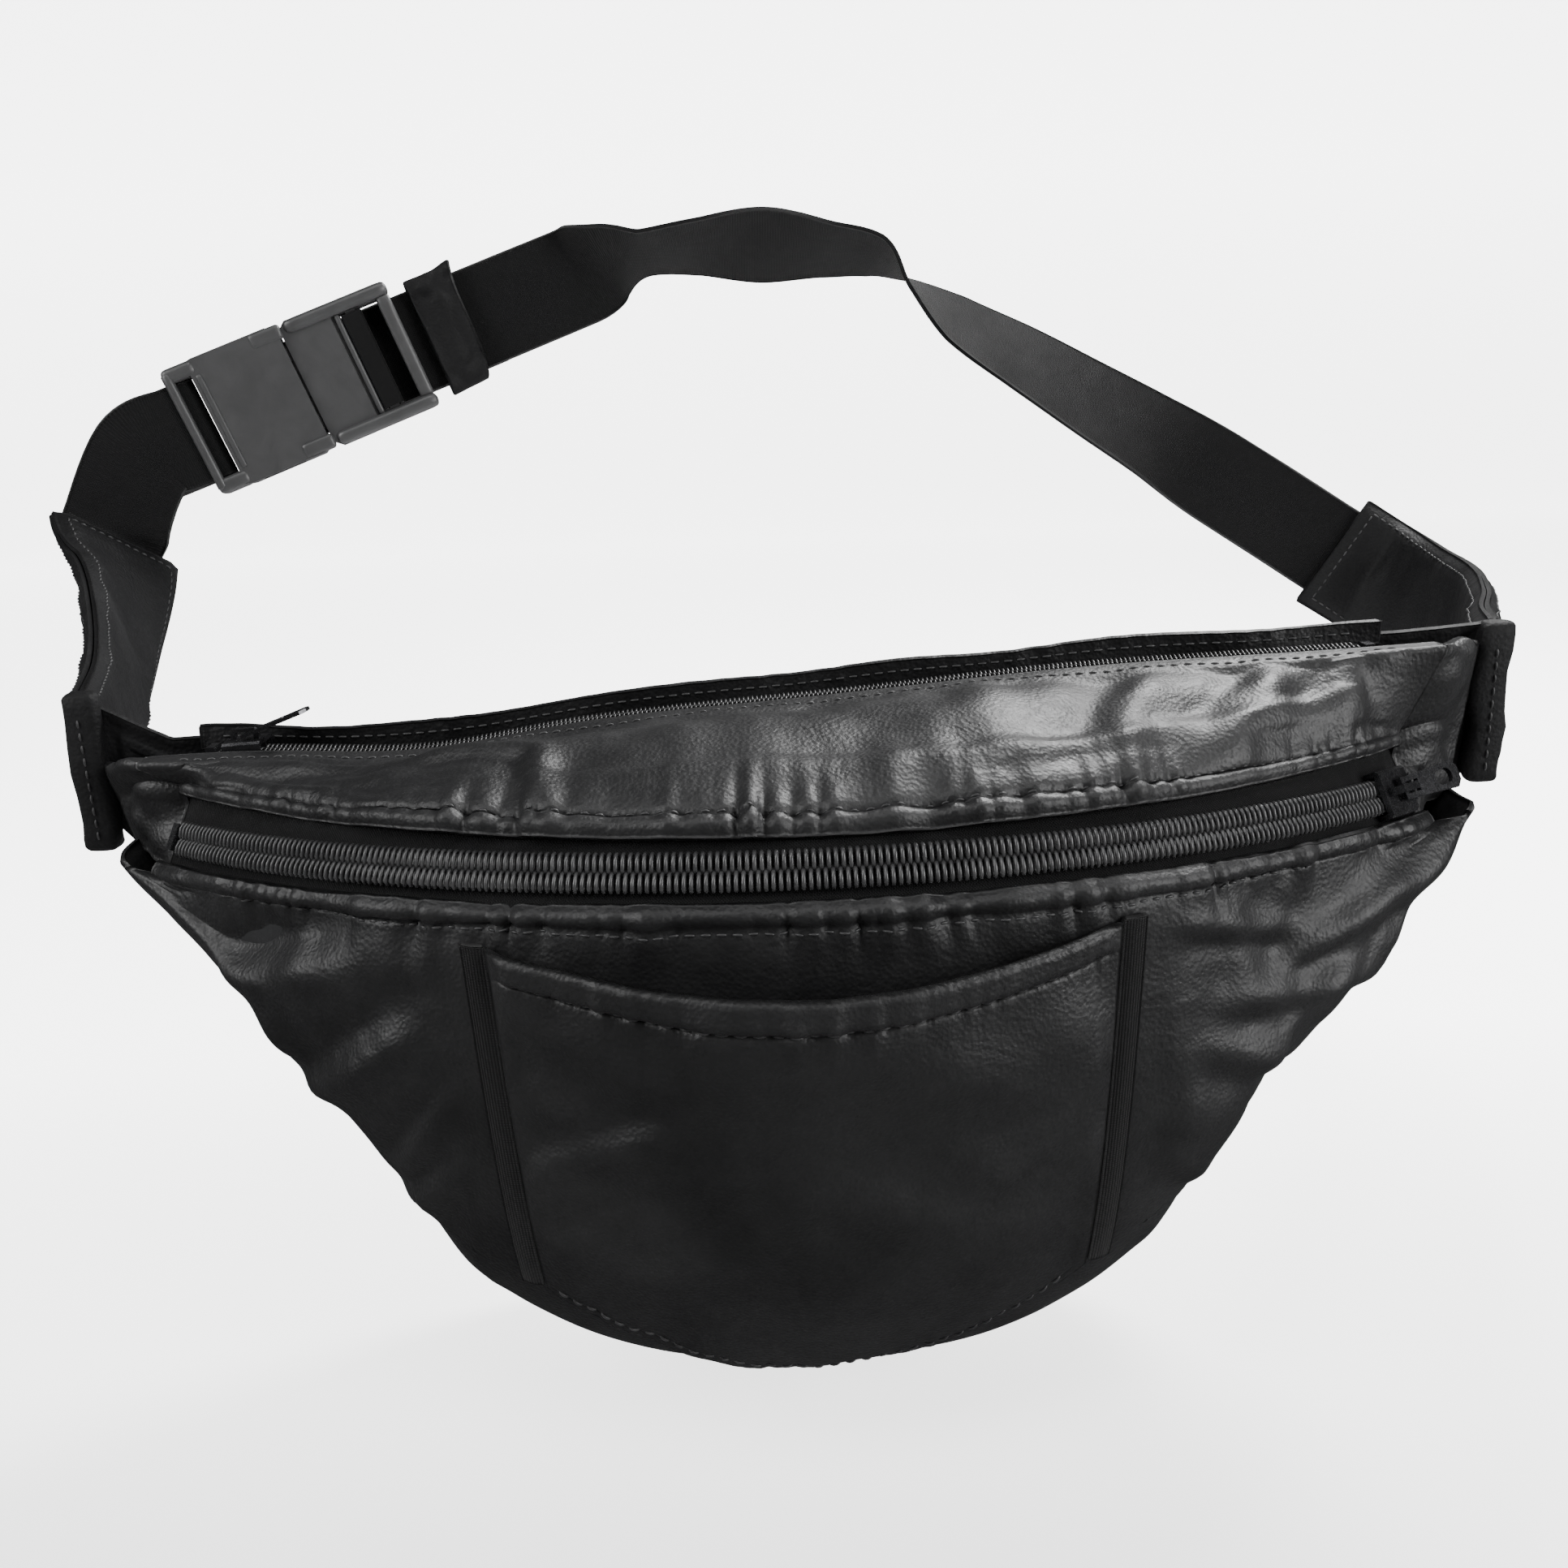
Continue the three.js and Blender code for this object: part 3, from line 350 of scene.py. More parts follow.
COIL = moulded("zip_coil", (0.03, 0.03, 0.031), (0.05, 0.05, 0.051), 0.28)
METAL = moulded("dark_metal", (0.05, 0.05, 0.053), (0.1, 0.1, 0.105), 0.26, metallic=0.9)
COIL_REAR = moulded("rear_zip_coil", (0.006, 0.006, 0.0063), (0.012, 0.012, 0.0125), 0.4)
TAPE_REAR = woven("rear_zip_tape", (0.0012, 0.0012, 0.0013), (0.004, 0.004, 0.0042), 0.0012, 0.0012,
                  diagonal=True)
THREAD = moulded("thread", (0.014, 0.014, 0.0145), (0.032, 0.032, 0.033), 0.5)


# ---------------------------------------------------------------- mesh helpers, in CAD millimetres
def to_row(points):
    return (np.asarray(points, dtype=float) - vec(0, 0, FACE_CENTRE_Z)) * MM


def add_mesh(name, points, faces, material, body, replaces=(), uv=None, smooth=True):
    mesh = bpy.data.meshes.new(name)
    mesh.from_pydata(to_row(points).tolist(), [], [tuple(map(int, face)) for face in faces])
    mesh.materials.append(material)
    if uv is not None:
        layer = mesh.uv_layers.new(name="metres")
        corner = np.array([loop.vertex_index for loop in mesh.loops])
        layer.data.foreach_set("uv", (np.asarray(uv, dtype=float) * MM)[corner].astype(np.float32).ravel())
    mesh.polygons.foreach_set("use_smooth", [smooth] * len(mesh.polygons))
    mesh.update()
    made = bpy.data.objects.new(name, mesh)
    bpy.context.scene.collection.objects.link(made)
    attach(made, body)
    if replaces:
        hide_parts(*replaces)
    return made


def grid_normals(grid):
    down = np.gradient(grid, axis=0)
    across = np.gradient(grid, axis=1)
    return unit(np.cross(down, across))


def grid_lengths(grid):
    """Distance across and down the grid at each point, measured on its middle row and column."""
    rows, columns = grid.shape[:2]
    across = lengths_along(grid[rows // 2])
    down = lengths_along(grid[:, columns // 2])
    return np.meshgrid(across, down)


def grid_faces(index):
    """Four-cornered faces between the neighbouring points of a grid of point numbers."""
    return np.stack([index[:-1, :-1], index[1:, :-1], index[1:, 1:], index[:-1, 1:]], axis=-1).reshape(-1, 4)


def add_sheet(name, grid, thickness, material, body=ROOT, replaces=()):
    """Leather or cloth sheet centred on a grid of points, with rounded edges."""
    rows, columns = grid.shape[:2]
    normals = grid_normals(grid)
    across, down = grid_lengths(grid)
    half = thickness / 2
    layers = [grid + normals * half, grid - normals * half]
    points = [layer.reshape(-1, 3) for layer in layers]
    uvs = [np.stack([across, down], axis=-1).reshape(-1, 2)] * 2
    index = np.arange(rows * columns).reshape(rows, columns)
    count = rows * columns
    front = grid_faces(index)
    back = front[:, [0, 3, 2, 1]] + count
    ring = np.r_[index[0, :-1], index[:-1, -1], index[-1, :0:-1], index[:0:-1, 0]]
    flat = grid.reshape(-1, 3)
    inward = np.r_[
        index[1, :-1], index[:-1, -2], index[-2, :0:-1], index[:0:-1, 1]
    ]
    outward = unit(flat[ring] - flat[inward])
    points.append(flat[ring] + outward * half * 0.9)
    uvs.append(uvs[0][ring])
    rim = 2 * count + np.arange(len(ring))
    following = np.roll(np.arange(len(ring)), -1)
    upper = np.stack([ring, ring[following], rim[following], rim], axis=-1)[:, ::-1]
    lower = np.stack([rim, rim[following], ring[following] + count, ring + count], axis=-1)[:, ::-1]
    faces = np.concatenate([front, back, upper, lower])
    return add_mesh(name, np.concatenate(points), faces, material, body, replaces, np.concatenate(uvs))


def add_stitches(name, line, normals, pitch=3.5, length=2.5, radius=0.34, body=ROOT):
    """A row of thread stitches along a line of points, each a small rounded bead lying on the surface."""
    line = np.asarray(line, dtype=float)
    steps = lengths_along(line)
    places = np.arange(pitch / 2, steps[-1] - pitch / 2, pitch)
    middle = at_places(line, steps, places)
    along = unit(at_places(line, steps, places + 0.3) - at_places(line, steps, places - 0.3))
    out = unit(at_places(np.asarray(normals, dtype=float), steps, places))
    side = unit(np.cross(out, along))
    out = np.cross(along, side)
    profile = [(-1, 0.15), (-0.8, 0.75), (-0.3, 1), (0.3, 1), (0.8, 0.75), (1, 0.15)]
    turns = [2 * math.pi * k / 6 for k in range(6)]
    local = np.array([(x * length / 2, r * math.cos(t), r * math.sin(t)) for x, r in profile for t in turns])
    local[:, 1:] *= radius
    sunk = radius * (0.35 - 1.1 * (np.abs(local[:, 0]) * 2 / length) ** 3)
    points = (
        middle[:, None]
        + along[:, None] * local[None, :, 0:1]
        + side[:, None] * local[None, :, 1:2]
        + out[:, None] * (local[None, :, 2:3] + sunk[None, :, None])
    ).reshape(-1, 3)
    faces = []
    for k in range(len(places)):
        base = k * len(local)
        for i in range(len(profile) - 1):
            for j in range(6):
                nxt = (j + 1) % 6
                row, after = base + i * 6, base + (i + 1) * 6
                faces.append((row + j, row + nxt, after + nxt, after + j))
        faces.append(tuple(base + j for j in range(5, -1, -1)))
        faces.append(tuple(base + 30 + j for j in range(6)))
    return add_mesh(name, points, faces, THREAD, body)


def resized(values, rows, columns):
    """The grid of values stretched smoothly to another number of rows and columns."""
    def stretch(grid, count):
        at = np.linspace(0, len(grid) - 1, count)
        flat = grid.reshape(len(grid), -1)
        new = np.stack([np.interp(at, np.arange(len(grid)), column) for column in flat.T], axis=-1)
        return new.reshape(count, *grid.shape[1:])
    return stretch(stretch(values, rows).swapaxes(0, 1), columns).swapaxes(0, 1)


def softened(values, passes):
    for _ in range(passes):
        padded = np.pad(values, ((1, 1), (1, 1), (0, 0)), mode="edge")
        beside = padded[:-2, 1:-1] + padded[2:, 1:-1] + padded[1:-1, :-2] + padded[1:-1, 2:]
        values = (beside + 4 * values) / 8
    return values


def settled(grid, rows, columns, slack, pressure, most, held=None):
    """How soft leather on this grid buckles when it is cut a little larger than its seams let it lie.
    The edges are sewn down, and so is what held marks. Gives each point's shift, up to most millimetres."""
    coarse = resized(grid, rows, columns)
    index = np.arange(rows * columns).reshape(rows, columns)
    faces = grid_faces(index)
    mesh = bpy.data.meshes.new("settling")
    mesh.from_pydata(to_row(coarse.reshape(-1, 3)).tolist(), [], faces.tolist())
    cloth = bpy.data.objects.new("settling", mesh)
    bpy.context.scene.collection.objects.link(cloth)
    pinned = np.zeros((rows, columns), dtype=bool)
    pinned[[0, -1], :] = True
    pinned[:, [0, -1]] = True
    if held is not None:
        pinned |= resized(held.astype(float)[..., None], rows, columns)[..., 0] > 0.5
    group = cloth.vertex_groups.new(name="sewn")
    group.add(index[pinned].tolist(), 1, "ADD")
    modifier = cloth.modifiers.new("settle", "CLOTH")
    modifier.settings.quality = 6
    modifier.settings.mass = 0.2
    modifier.settings.tension_stiffness = 40
    modifier.settings.compression_stiffness = 40
    modifier.settings.shear_stiffness = 12
    modifier.settings.bending_stiffness = 1.2
    modifier.settings.vertex_group_mass = "sewn"
    modifier.settings.shrink_min = -slack
    modifier.settings.use_pressure = True
    modifier.settings.uniform_pressure_force = pressure
    modifier.settings.effector_weights.gravity = 0
    modifier.collision_settings.use_self_collision = False
    modifier.point_cache.frame_start = 1
    modifier.point_cache.frame_end = 20
    for step in range(1, 21):
        bpy.context.scene.frame_set(step)
    shaped = cloth.evaluated_get(bpy.context.evaluated_depsgraph_get())
    flat = np.empty(rows * columns * 3, dtype=np.float32)
    shaped.data.vertices.foreach_get("co", flat)
    shift = flat.reshape(rows, columns, 3) / MM + vec(0, 0, FACE_CENTRE_Z) - coarse
    bpy.data.objects.remove(cloth)
    bpy.context.scene.frame_set(1)
    reach = np.linalg.norm(shift, axis=-1, keepdims=True)
    shift = shift * np.minimum(1, most / np.maximum(reach, 1e-6))
    return resized(softened(shift, 2), *grid.shape[:2])


def add_rounded_blocks(name, blocks, material, body, place):
    """One piece made of rounded blocks. blocks: (low, high, radius) in local millimetres; place turns local
    points into CAD millimetres."""
    points, faces = [], []
    share = np.array([-1, -0.94, -0.82, -0.64, -0.3, 0, 0.3, 0.64, 0.82, 0.94, 1])
    count = len(share)
    for low, high, radius in blocks:
        low, high = vec(*low), vec(*high)
        middle, half = (low + high) / 2, (high - low) / 2
        radius = min(radius, half.min() * 0.98)
        for axis in range(3):
            for sign in (-1, 1):
                a, b = np.meshgrid(share, share, indexing="ij")
                local = np.zeros((count, count, 3))
                others = [(axis + 1) % 3, (axis + 2) % 3]
                local[..., others[0]] = a * half[others[0]]
                local[..., others[1]] = b * half[others[1]] * sign
                local[..., axis] = sign * half[axis]
                core = np.clip(local, -(half - radius), half - radius)
                local = middle + core + radius * unit(local - core)
                base = sum(len(x) for x in points)
                index = base + np.arange(count * count).reshape(count, count)
                points.append(local.reshape(-1, 3))
                faces.append(grid_faces(index))
    points = np.concatenate(points)
    made = add_mesh(name, place(points), np.concatenate(faces), material, body)
    merged = made.modifiers.new("joined_seams", "WELD")
    merged.merge_threshold = 1e-6
    return made


def replaced_material(name, material):
    """Gives a CAD node that stays in view its finished material."""
    target = frame["nodes"][name]
    target.data.materials.clear()
    target.data.materials.append(material)
    return target


# ---------------------------------------------------------------- camera, floor and light
SENSOR_WIDTH_MM = 36
LENS_MM = 32.4224
CAMERA_AT = vec(-1.7, -376.8, 246.4)
ELEVATION = math.radians(16.5)
ROLL = math.radians(-2.3)
BACKDROP_GLOW = 4.0
SKY_STRENGTH = 0.5


def add_camera():
    data = bpy.data.cameras.new("camera")
    data.sensor_width = SENSOR_WIDTH_MM
    data.lens = LENS_MM
    data.clip_start = 0.01
    camera = bpy.data.objects.new("camera", data)
    bpy.context.scene.collection.objects.link(camera)
    bpy.context.scene.camera = camera
    forward = vec(0, math.cos(ELEVATION), -math.sin(ELEVATION))
    up = vec(0, math.sin(ELEVATION), math.cos(ELEVATION))
    right = vec(1, 0, 0)
    rolled_right = math.cos(ROLL) * right + math.sin(ROLL) * up
    rolled_up = -math.sin(ROLL) * right + math.cos(ROLL) * up
    place = Matrix.Identity(4)
    for column, axis in enumerate((rolled_right, rolled_up, -forward)):
        for row in range(3):
            place[row][column] = axis[row]
    place.translation = Vector(to_row(CAMERA_AT))
    camera.matrix_world = place


def add_area_light(name, at, target, size, power):
    data = bpy.data.lights.new(name, "AREA")
    data.shape = "RECTANGLE"
    data.size, data.size_y = size
    data.energy = power
    light = bpy.data.objects.new(name, data)
    light.location = at
    light.rotation_mode = "QUATERNION"
    light.rotation_quaternion = (Vector(target) - Vector(at)).to_track_quat("-Z", "Y")
    bpy.context.scene.collection.objects.link(light)


def add_stage():
    """Pale floor that curves up into a backdrop that glows behind the pack, under an even sky."""
    level, back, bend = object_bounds()[0][2] - 0.0005, 1.9, 0.6
    profile = [(-5.0, level), (back, level)]
    turns = np.linspace(0.1, math.pi / 2, 14)
    profile += [(back + bend * math.sin(t), level + bend * (1 - math.cos(t))) for t in turns]
    profile.append((back + bend, 0.95))
    points = [(x, y, z) for y, z in profile for x in (-7, 7)]
    faces = [(2 * k, 2 * k + 1, 2 * k + 3, 2 * k + 2) for k in range(len(profile) - 1)]
    mesh = bpy.data.meshes.new("backdrop")
    mesh.from_pydata(points, [], faces)
    mesh.polygons.foreach_set("use_smooth", [True] * len(mesh.polygons))
    backdrop = bpy.data.objects.new("backdrop", mesh)
    bpy.context.scene.collection.objects.link(backdrop)
    material, tree, shader = new_material("pale_paper")
    shader.inputs["Base Color"].default_value = (0.93, 0.93, 0.93, 1)
    shader.inputs["Roughness"].default_value = 0.95
    shader.inputs["Specular IOR Level"].default_value = 0.1
    shader.inputs["Emission Color"].default_value = (1, 1, 1, 1)
    place = tree.nodes.new("ShaderNodeSeparateXYZ")
    tree.links.new(coordinates(tree), place.inputs["Vector"])
    glow = ramp(tree, place.outputs["Y"], -0.3, 0.15, 0.0, BACKDROP_GLOW)
    tree.links.new(glow, shader.inputs["Emission Strength"])
    mesh.materials.append(material)
    backdrop.visible_glossy = False
    world = bpy.data.worlds.new("studio")
    world.use_nodes = True
    world.node_tree.nodes["Background"].inputs["Strength"].default_value = SKY_STRENGTH
    bpy.context.scene.world = world
    add_area_light("soft_box_back_right", (0.55, 0.62, 0.95), (0.08, -0.03, 0.07), (0.42, 0.36), 24)
    add_area_light("soft_box_left", (-1.0, -0.45, 0.7), (-0.05, -0.03, 0), (0.5, 0.8), 13)
    add_area_light("soft_box_right", (1.1, -0.6, 0.45), (0.05, -0.05, 0), (0.5, 0.8), 17)
    add_area_light("soft_box_above", (0.0, -0.5, 1.3), (0, 0, 0.1), (0.9, 0.4), 7)


add_camera()


# ---------------------------------------------------------------- front and top panels
def seam_pucker(along, away, seed, reach, size, length=9.0):
    """Short gathers that a seam pulls into soft leather, fading away from it."""
    wave = Ripple(seed, length, dimensions=1, count=9, spread=0.55)(along)
    strength = 0.6 + 0.4 * Ripple(seed + 1, 60, dimensions=1, count=6)(along)
    return size * strength * wave * np.exp(-np.abs(away) / reach)


def fold_line(x, z, start, end, width, height):
    """A soft crease between two points: a ridge with a trough on one side."""
    start, end = vec(*start), vec(*end)
    along = unit(end - start)
    rel_x, rel_z = x - start[0], z - start[1]
    t = rel_x * along[0] + rel_z * along[1]
    off = rel_x * -along[1] + rel_z * along[0]
    length = np.linalg.norm(end - start)
    ends = smooth_step(t, -0.25 * length, 0.2 * length) * (1 - smooth_step(t, 0.75 * length, 1.25 * length))
    profile = np.exp(-((off / width) ** 2)) - 0.75 * np.exp(-(((off - 1.5 * width) / (1.2 * width)) ** 2))
    return height * profile * ends


def front_rows():
    """Drops and depths of the grid's rows: even drops at first, then even turns round to the seam."""
    drops = np.linspace(0, 0.78, 100)
    depths = (1 - 0.78**FACE_SQUARENESS) ** (1 / FACE_SQUARENESS) * np.cos(np.linspace(0, math.pi / 2, 80))
    lower_drops = (1 - depths**FACE_SQUARENESS) ** (1 / FACE_SQUARENESS)
    upper_depths = (1 - drops**FACE_SQUARENESS) ** (1 / FACE_SQUARENESS)
    return np.r_[drops, lower_drops[1:]], np.r_[upper_depths, depths[1:]]


def front_grid():
    s = np.linspace(-1, 1, 330)
    drops, depths = front_rows()
    body = face_point(s[None, :], drops[:, None], depths[:, None])
    ups = np.linspace(-7.4, -11, 7)[:-1]
    edge = on_zip(s[None, :] * ZIP_HALF_ANGLE, ups[:, None], 1.4)
    return np.concatenate([edge, body])


FRONT_FOLDS = [
    ((-124, 74), (-92, 100), 4.5, 2.6), ((-146, 104), (-108, 116), 5, 2.4), ((-104, 42), (-78, 68), 3.5, 1.6),
    ((-98, 62), (-82, 84), 3, 1.4), ((-132, 96), (-122, 70), 4, 1.8), ((172, 118), (126, 106), 4.5, 3.4),
    ((150, 92), (104, 98), 4, 1.9), ((134, 70), (96, 88), 4.5, 1.7), ((104, 44), (86, 60), 4, 1.0),
    ((120, 112), (88, 120), 3, 1.3),
]


def shaped_front():
    grid = front_grid()
    normals = grid_normals(grid)
    across, down = grid_lengths(grid)
    x, z = grid[..., 0], grid[..., 2]
    away = down - 5
    under_pocket = smooth_step(np.abs(x - 1.5), 90, 78) * smooth_step(z, 128, 116)
    lift = seam_pucker(across, away, 11, 6, 0.6, 8)
    lift += seam_pucker(across, away, 17, 15, 0.45, 22)
    lift += 0.7 * Ripple(23, 60)(x, z) + 0.2 * Ripple(24, 21)(x, z)
    lift += 1.3 * np.exp(-(((down - 2.6) / 1.9) ** 2)) - 0.9 * np.exp(-(((down - 5.4) / 1.0) ** 2))
    for start, end, width, height in FRONT_FOLDS:
        lift += fold_line(x, z, start, end, width, height)
    lift *= 1 - 0.85 * under_pocket
    last = smooth_step(down, down.max(), down.max() - 14) * (1 - 0.6 * smooth_step(np.abs(x), 150, 172))
    shift = settled(grid, 84, 170, 0.008, 0.6, 2.0, under_pocket > 0.6)
    return grid + shift * last[..., None] + normals * (lift * last)[..., None]


front = shaped_front()
add_sheet("front_panel_leather", front, 1.6, LEATHER, replaces=["front_panel"])
front_normals = grid_normals(front)
EDGE_STITCH_ROW = 9
stitch_normals = front_normals[EDGE_STITCH_ROW, 6:-6]
add_stitches("front_panel_stitches", front[EDGE_STITCH_ROW, 6:-6] + stitch_normals * 0.8, stitch_normals)


def top_grid():
    s = np.linspace(-1, 1, 330)
    t = np.linspace(0, 1, 96)
    front_edge = on_zip(s * ZIP_HALF_ANGLE, 11.6 - 4.0 * (1 - s**2) ** 1.5, 1.4)
    bend = on_zip(s * ZIP_HALF_ANGLE, 14.4 - 2.5 * (1 - s**2), 1.2)
    x = s * 170
    over_tape = np.stack([x, np.full_like(x, REAR_ZIP_Y - 12), rear_zip_z(x) + 1.5], axis=-1)
    rear_edge = np.stack([x, np.full_like(x, REAR_ZIP_Y - 5.8), rear_zip_z(x) + 1.5], axis=-1)
    rows = [front_edge + (bend - front_edge) * k for k in np.linspace(0, 1, 6)[:-1]]
    for along in t:
        row = bend + (over_tape - bend) * along
        row[:, 2] += 7 * math.sin(math.pi * along) * (1 - s**4)
        rows.append(row)
    rows += [over_tape + (rear_edge - over_tape) * k for k in np.linspace(0, 1, 7)[1:]]
    return np.array(rows[::-1])


TOP_FOLDS = [
    ((-56, -74), (-61, -48), 4, 2.2), ((-62, -45), (-92, -38), 3.5, 1.7), ((-138, -40), (-98, -46), 4, 1.4),
    ((-128, -30), (-104, -36), 3, 1.2),
    ((74, -62), (92, -26), 6, 2.6), ((102, -52), (124, -28), 5, 2.4), ((128, -40), (146, -26), 4, 1.8),
    ((20, -70), (52, -34), 9, 1.2), ((-60, -64), (-30, -30), 8, -1.0),
]


def shaped_top():
    grid = top_grid()
    normals = -grid_normals(grid)
    if normals[48, 165, 2] < 0:
        normals = -normals
    across, down = grid_lengths(grid)
    from_front = down.max() - down
    x, y = grid[..., 0], grid[..., 1]
    lift = seam_pucker(across, from_front - 5, 31, 6, 0.75, 8)
    lift += seam_pucker(across, from_front - 5, 33, 15, 0.4, 24)
    lift += 0.7 * Ripple(37, 80)(x, y) + 0.2 * Ripple(36, 22)(x, y * 0.5)
    for start, end, width, height in TOP_FOLDS:
        lift += fold_line(x, y, start, end, width, height)
    lift += 1.2 * np.exp(-(((from_front - 2.4) / 1.8) ** 2))
    lift -= 0.9 * np.exp(-(((from_front - 5.2) / 1.0) ** 2))
    hold = smooth_step(down, 0, 12) * (1 - 0.7 * smooth_step(np.abs(x), 150, 168))
    shift = settled(grid, 52, 180, 0.006, 0.5, 1.5)
    return grid + (shift + normals * lift[..., None]) * hold[..., None], normals


top, top_normals = shaped_top()
add_sheet("top_panel_leather", top, 1.6, LEATHER, replaces=["top_panel"])
top_row = len(top) - 8
stitch_normals = top_normals[top_row, 6:-6]
add_stitches("top_panel_stitches", top[top_row, 6:-6] + stitch_normals * 0.8, stitch_normals)
add_stitches("rear_seam_stitches", top[5, 10:-10] + top_normals[5, 10:-10] * 0.8, top_normals[5, 10:-10])


# ---------------------------------------------------------------- patch pocket
def pocket_lift(u, v):
    middle = 1 - u * u
    return 1.9 + 8 * middle * (1 - v) ** 2 + 3.5 * middle * 4 * v * (1 - v)


def pocket_grid(u, v, rise, extra_half=0.0, raised=0.0):
    u, v, rise, extra_half, raised = np.broadcast_arrays(u, v, rise, extra_half, raised)
    half = POCKET_TOP_HALF + (POCKET_BOTTOM_HALF - POCKET_TOP_HALF) * v + extra_half
    x = u * half + 1.5
    mouth = 124 - 7 * (1 - u * u)
    bottom = -3 + 31 * u * u
    z = mouth + (bottom - mouth) * v + raised
    return np.stack([x, face_y(x, z) - rise, z], axis=-1)


def shaped_pocket():
    u = np.linspace(-1, 1, 190)[None, :]
    v = np.linspace(0, 1, 170)[:, None]
    grid = pocket_grid(u, v, pocket_lift(u, v) + 0.7, raised=4 * v)
    across, down = grid_lengths(grid)
    x, z = grid[..., 0], grid[..., 2]
    lift = 0.7 * Ripple(51, 60)(x, z) + 0.25 * Ripple(52, 24)(x, z)
    lift += seam_pucker(across, down - 6.4, 53, 4.5, 0.42, 6.5)
    lift += seam_pucker(across, down.max() - 3.6 - down, 55, 4, 0.2, 7)
    lift += fold_line(x, z, (-62, 70), (-30, 84), 4, 1.1)
    lift += fold_line(x, z, (-64, 44), (-36, 60), 5, 0.9)
    lift += 1.25 * smooth_step(down, 7.8, 6.2) * smooth_step(down, -0.2, 1.0)
    scallop = 0.55 + 0.45 * np.cos(2 * np.pi * across / 4.1)
    lift -= (0.45 + 0.6 * scallop) * np.exp(-(((down - 7.4) / 0.9) ** 2))
    lift -= 0.5 * np.exp(-(((down.max() - down - 3.6) / 0.8) ** 2))
    normals = grid_normals(grid)
    if normals[80, 95, 1] > 0:
        normals = -normals
    edge = smooth_step(1 - np.abs(u), 0, 0.08)
    return grid + normals * (lift * edge)[..., None], normals


pocket, pocket_normals = shaped_pocket()
add_sheet("patch_pocket_leather", pocket, 1.3, LEATHER, replaces=["patch_pocket", "pocket_hem"])
hem_row = 11
add_stitches("pocket_hem_stitches", pocket[hem_row, 3:-3] + pocket_normals[hem_row, 3:-3] * 0.7,
             pocket_normals[hem_row, 3:-3], pitch=4.1, length=3.0, radius=0.42)
low_row = len(pocket) - 6
add_stitches("pocket_bottom_stitches", pocket[low_row, 4:-4] + pocket_normals[low_row, 4:-4] * 0.7,
             pocket_normals[low_row, 4:-4], pitch=4.1, length=3.0, radius=0.4)
for side, name in ((-1, "left"), (1, "right")):
    strip_v = np.linspace(-0.01, 0.95, 90)[:, None]
    strip_k = np.linspace(0, 1, 10)[None, :]
    belly = 0.5 * np.sin(np.pi * strip_k)
    strip = pocket_grid(side, strip_v, 2.35 + belly + 0 * strip_v, 0.4 + 5.5 * strip_k)
    add_sheet(f"pocket_strip_{name}_webbing", strip, 1.5, WEBBING, replaces=[f"pocket_strip_{name}"])


# ---------------------------------------------------------------- zips
def zip_surface(start, end, low, high, out, count=300, rows=9):
    angles = np.linspace(start, end, count)[None, :]
    ups = np.linspace(low, high, rows)[:, None]
    return on_zip(angles, ups, out + 0 * ups)


add_sheet("front_tape_upper_cloth", zip_surface(-ZIP_END, ZIP_END, 1.0, 12.7, -0.4), 0.8, TAPE,
          replaces=["front_tape_upper"])
add_sheet("front_tape_lower_cloth", zip_surface(-ZIP_END, ZIP_END, -9.4, -1.0, -0.4), 0.8, TAPE,
          replaces=["front_tape_lower"])


def add_coil(name, frames, sign, scale, replaces, material):
    """One row of a coil zip: a loop of monofilament at every pitch, its head reaching the chain's middle.
    frames: (point, along, up, out) for each tooth."""
    path = np.array([(3.9, 0.55), (2.4, 0.5), (0.7, 0.75), (-0.25, 1.3),
                     (0.7, 2.0), (2.4, 2.3), (3.8, 2.05), (4.35, 1.3)])
    sides = 6
    radius = 0.5
    points, faces = [], []
    for point, along, up, out in frames:
        base = len(points)
        for k, (reach, height) in enumerate(path):
            before = path[max(k - 1, 0)]
            after = path[min(k + 1, len(path) - 1)]
            tangent = unit(vec(0, after[0] - before[0], after[1] - before[1]))
            normal = vec(0, -tangent[2], tangent[1])
            width = radius * (1.1 if k == 3 else 1.0)
            for j in range(sides):
                angle = 2 * math.pi * j / sides
                a = width * math.cos(angle)
                rest = radius * math.sin(angle)
                offset = (a, (reach + normal[1] * rest) * sign, height + normal[2] * rest)
                points.append(point + scale * (along * offset[0] + up * offset[1] + out * offset[2]))
        for k in range(len(path)):
            nxt = (k + 1) % len(path)
            for j in range(sides):
                jn = (j + 1) % sides
                row, after = base + k * sides, base + nxt * sides
                faces.append((row + j, row + jn, after + jn, after + j))
    return add_mesh(name, np.array(points), faces, material, ROOT, replaces)


def front_tooth_frames(shift, pitch=1.62):
    reach = ZIP_END - 0.02
    angles = np.arange(-reach, reach, pitch / ZIP_RADIUS) + shift * pitch / ZIP_RADIUS
    step = 1e-3
    frames = []
    for angle in angles[angles < reach]:
        point = on_zip(angle, 0, 0)
        along = unit(on_zip(angle + step, 0, 0) - point)
        frames.append((point, along, on_zip(angle, 1, 0) - point, on_zip(angle, 0, 1) - point))
    return frames


add_coil("front_coil_upper_teeth", front_tooth_frames(0), 1, 1, ["front_coil_upper"], COIL)
add_coil("front_coil_lower_teeth", front_tooth_frames(0.5), -1, 1, ["front_coil_lower"], COIL)

REAR_ALONG = unit(vec(1, 0, REAR_ZIP_SLOPE))
REAR_OUT = unit(vec(-REAR_ZIP_SLOPE, 0, 1))


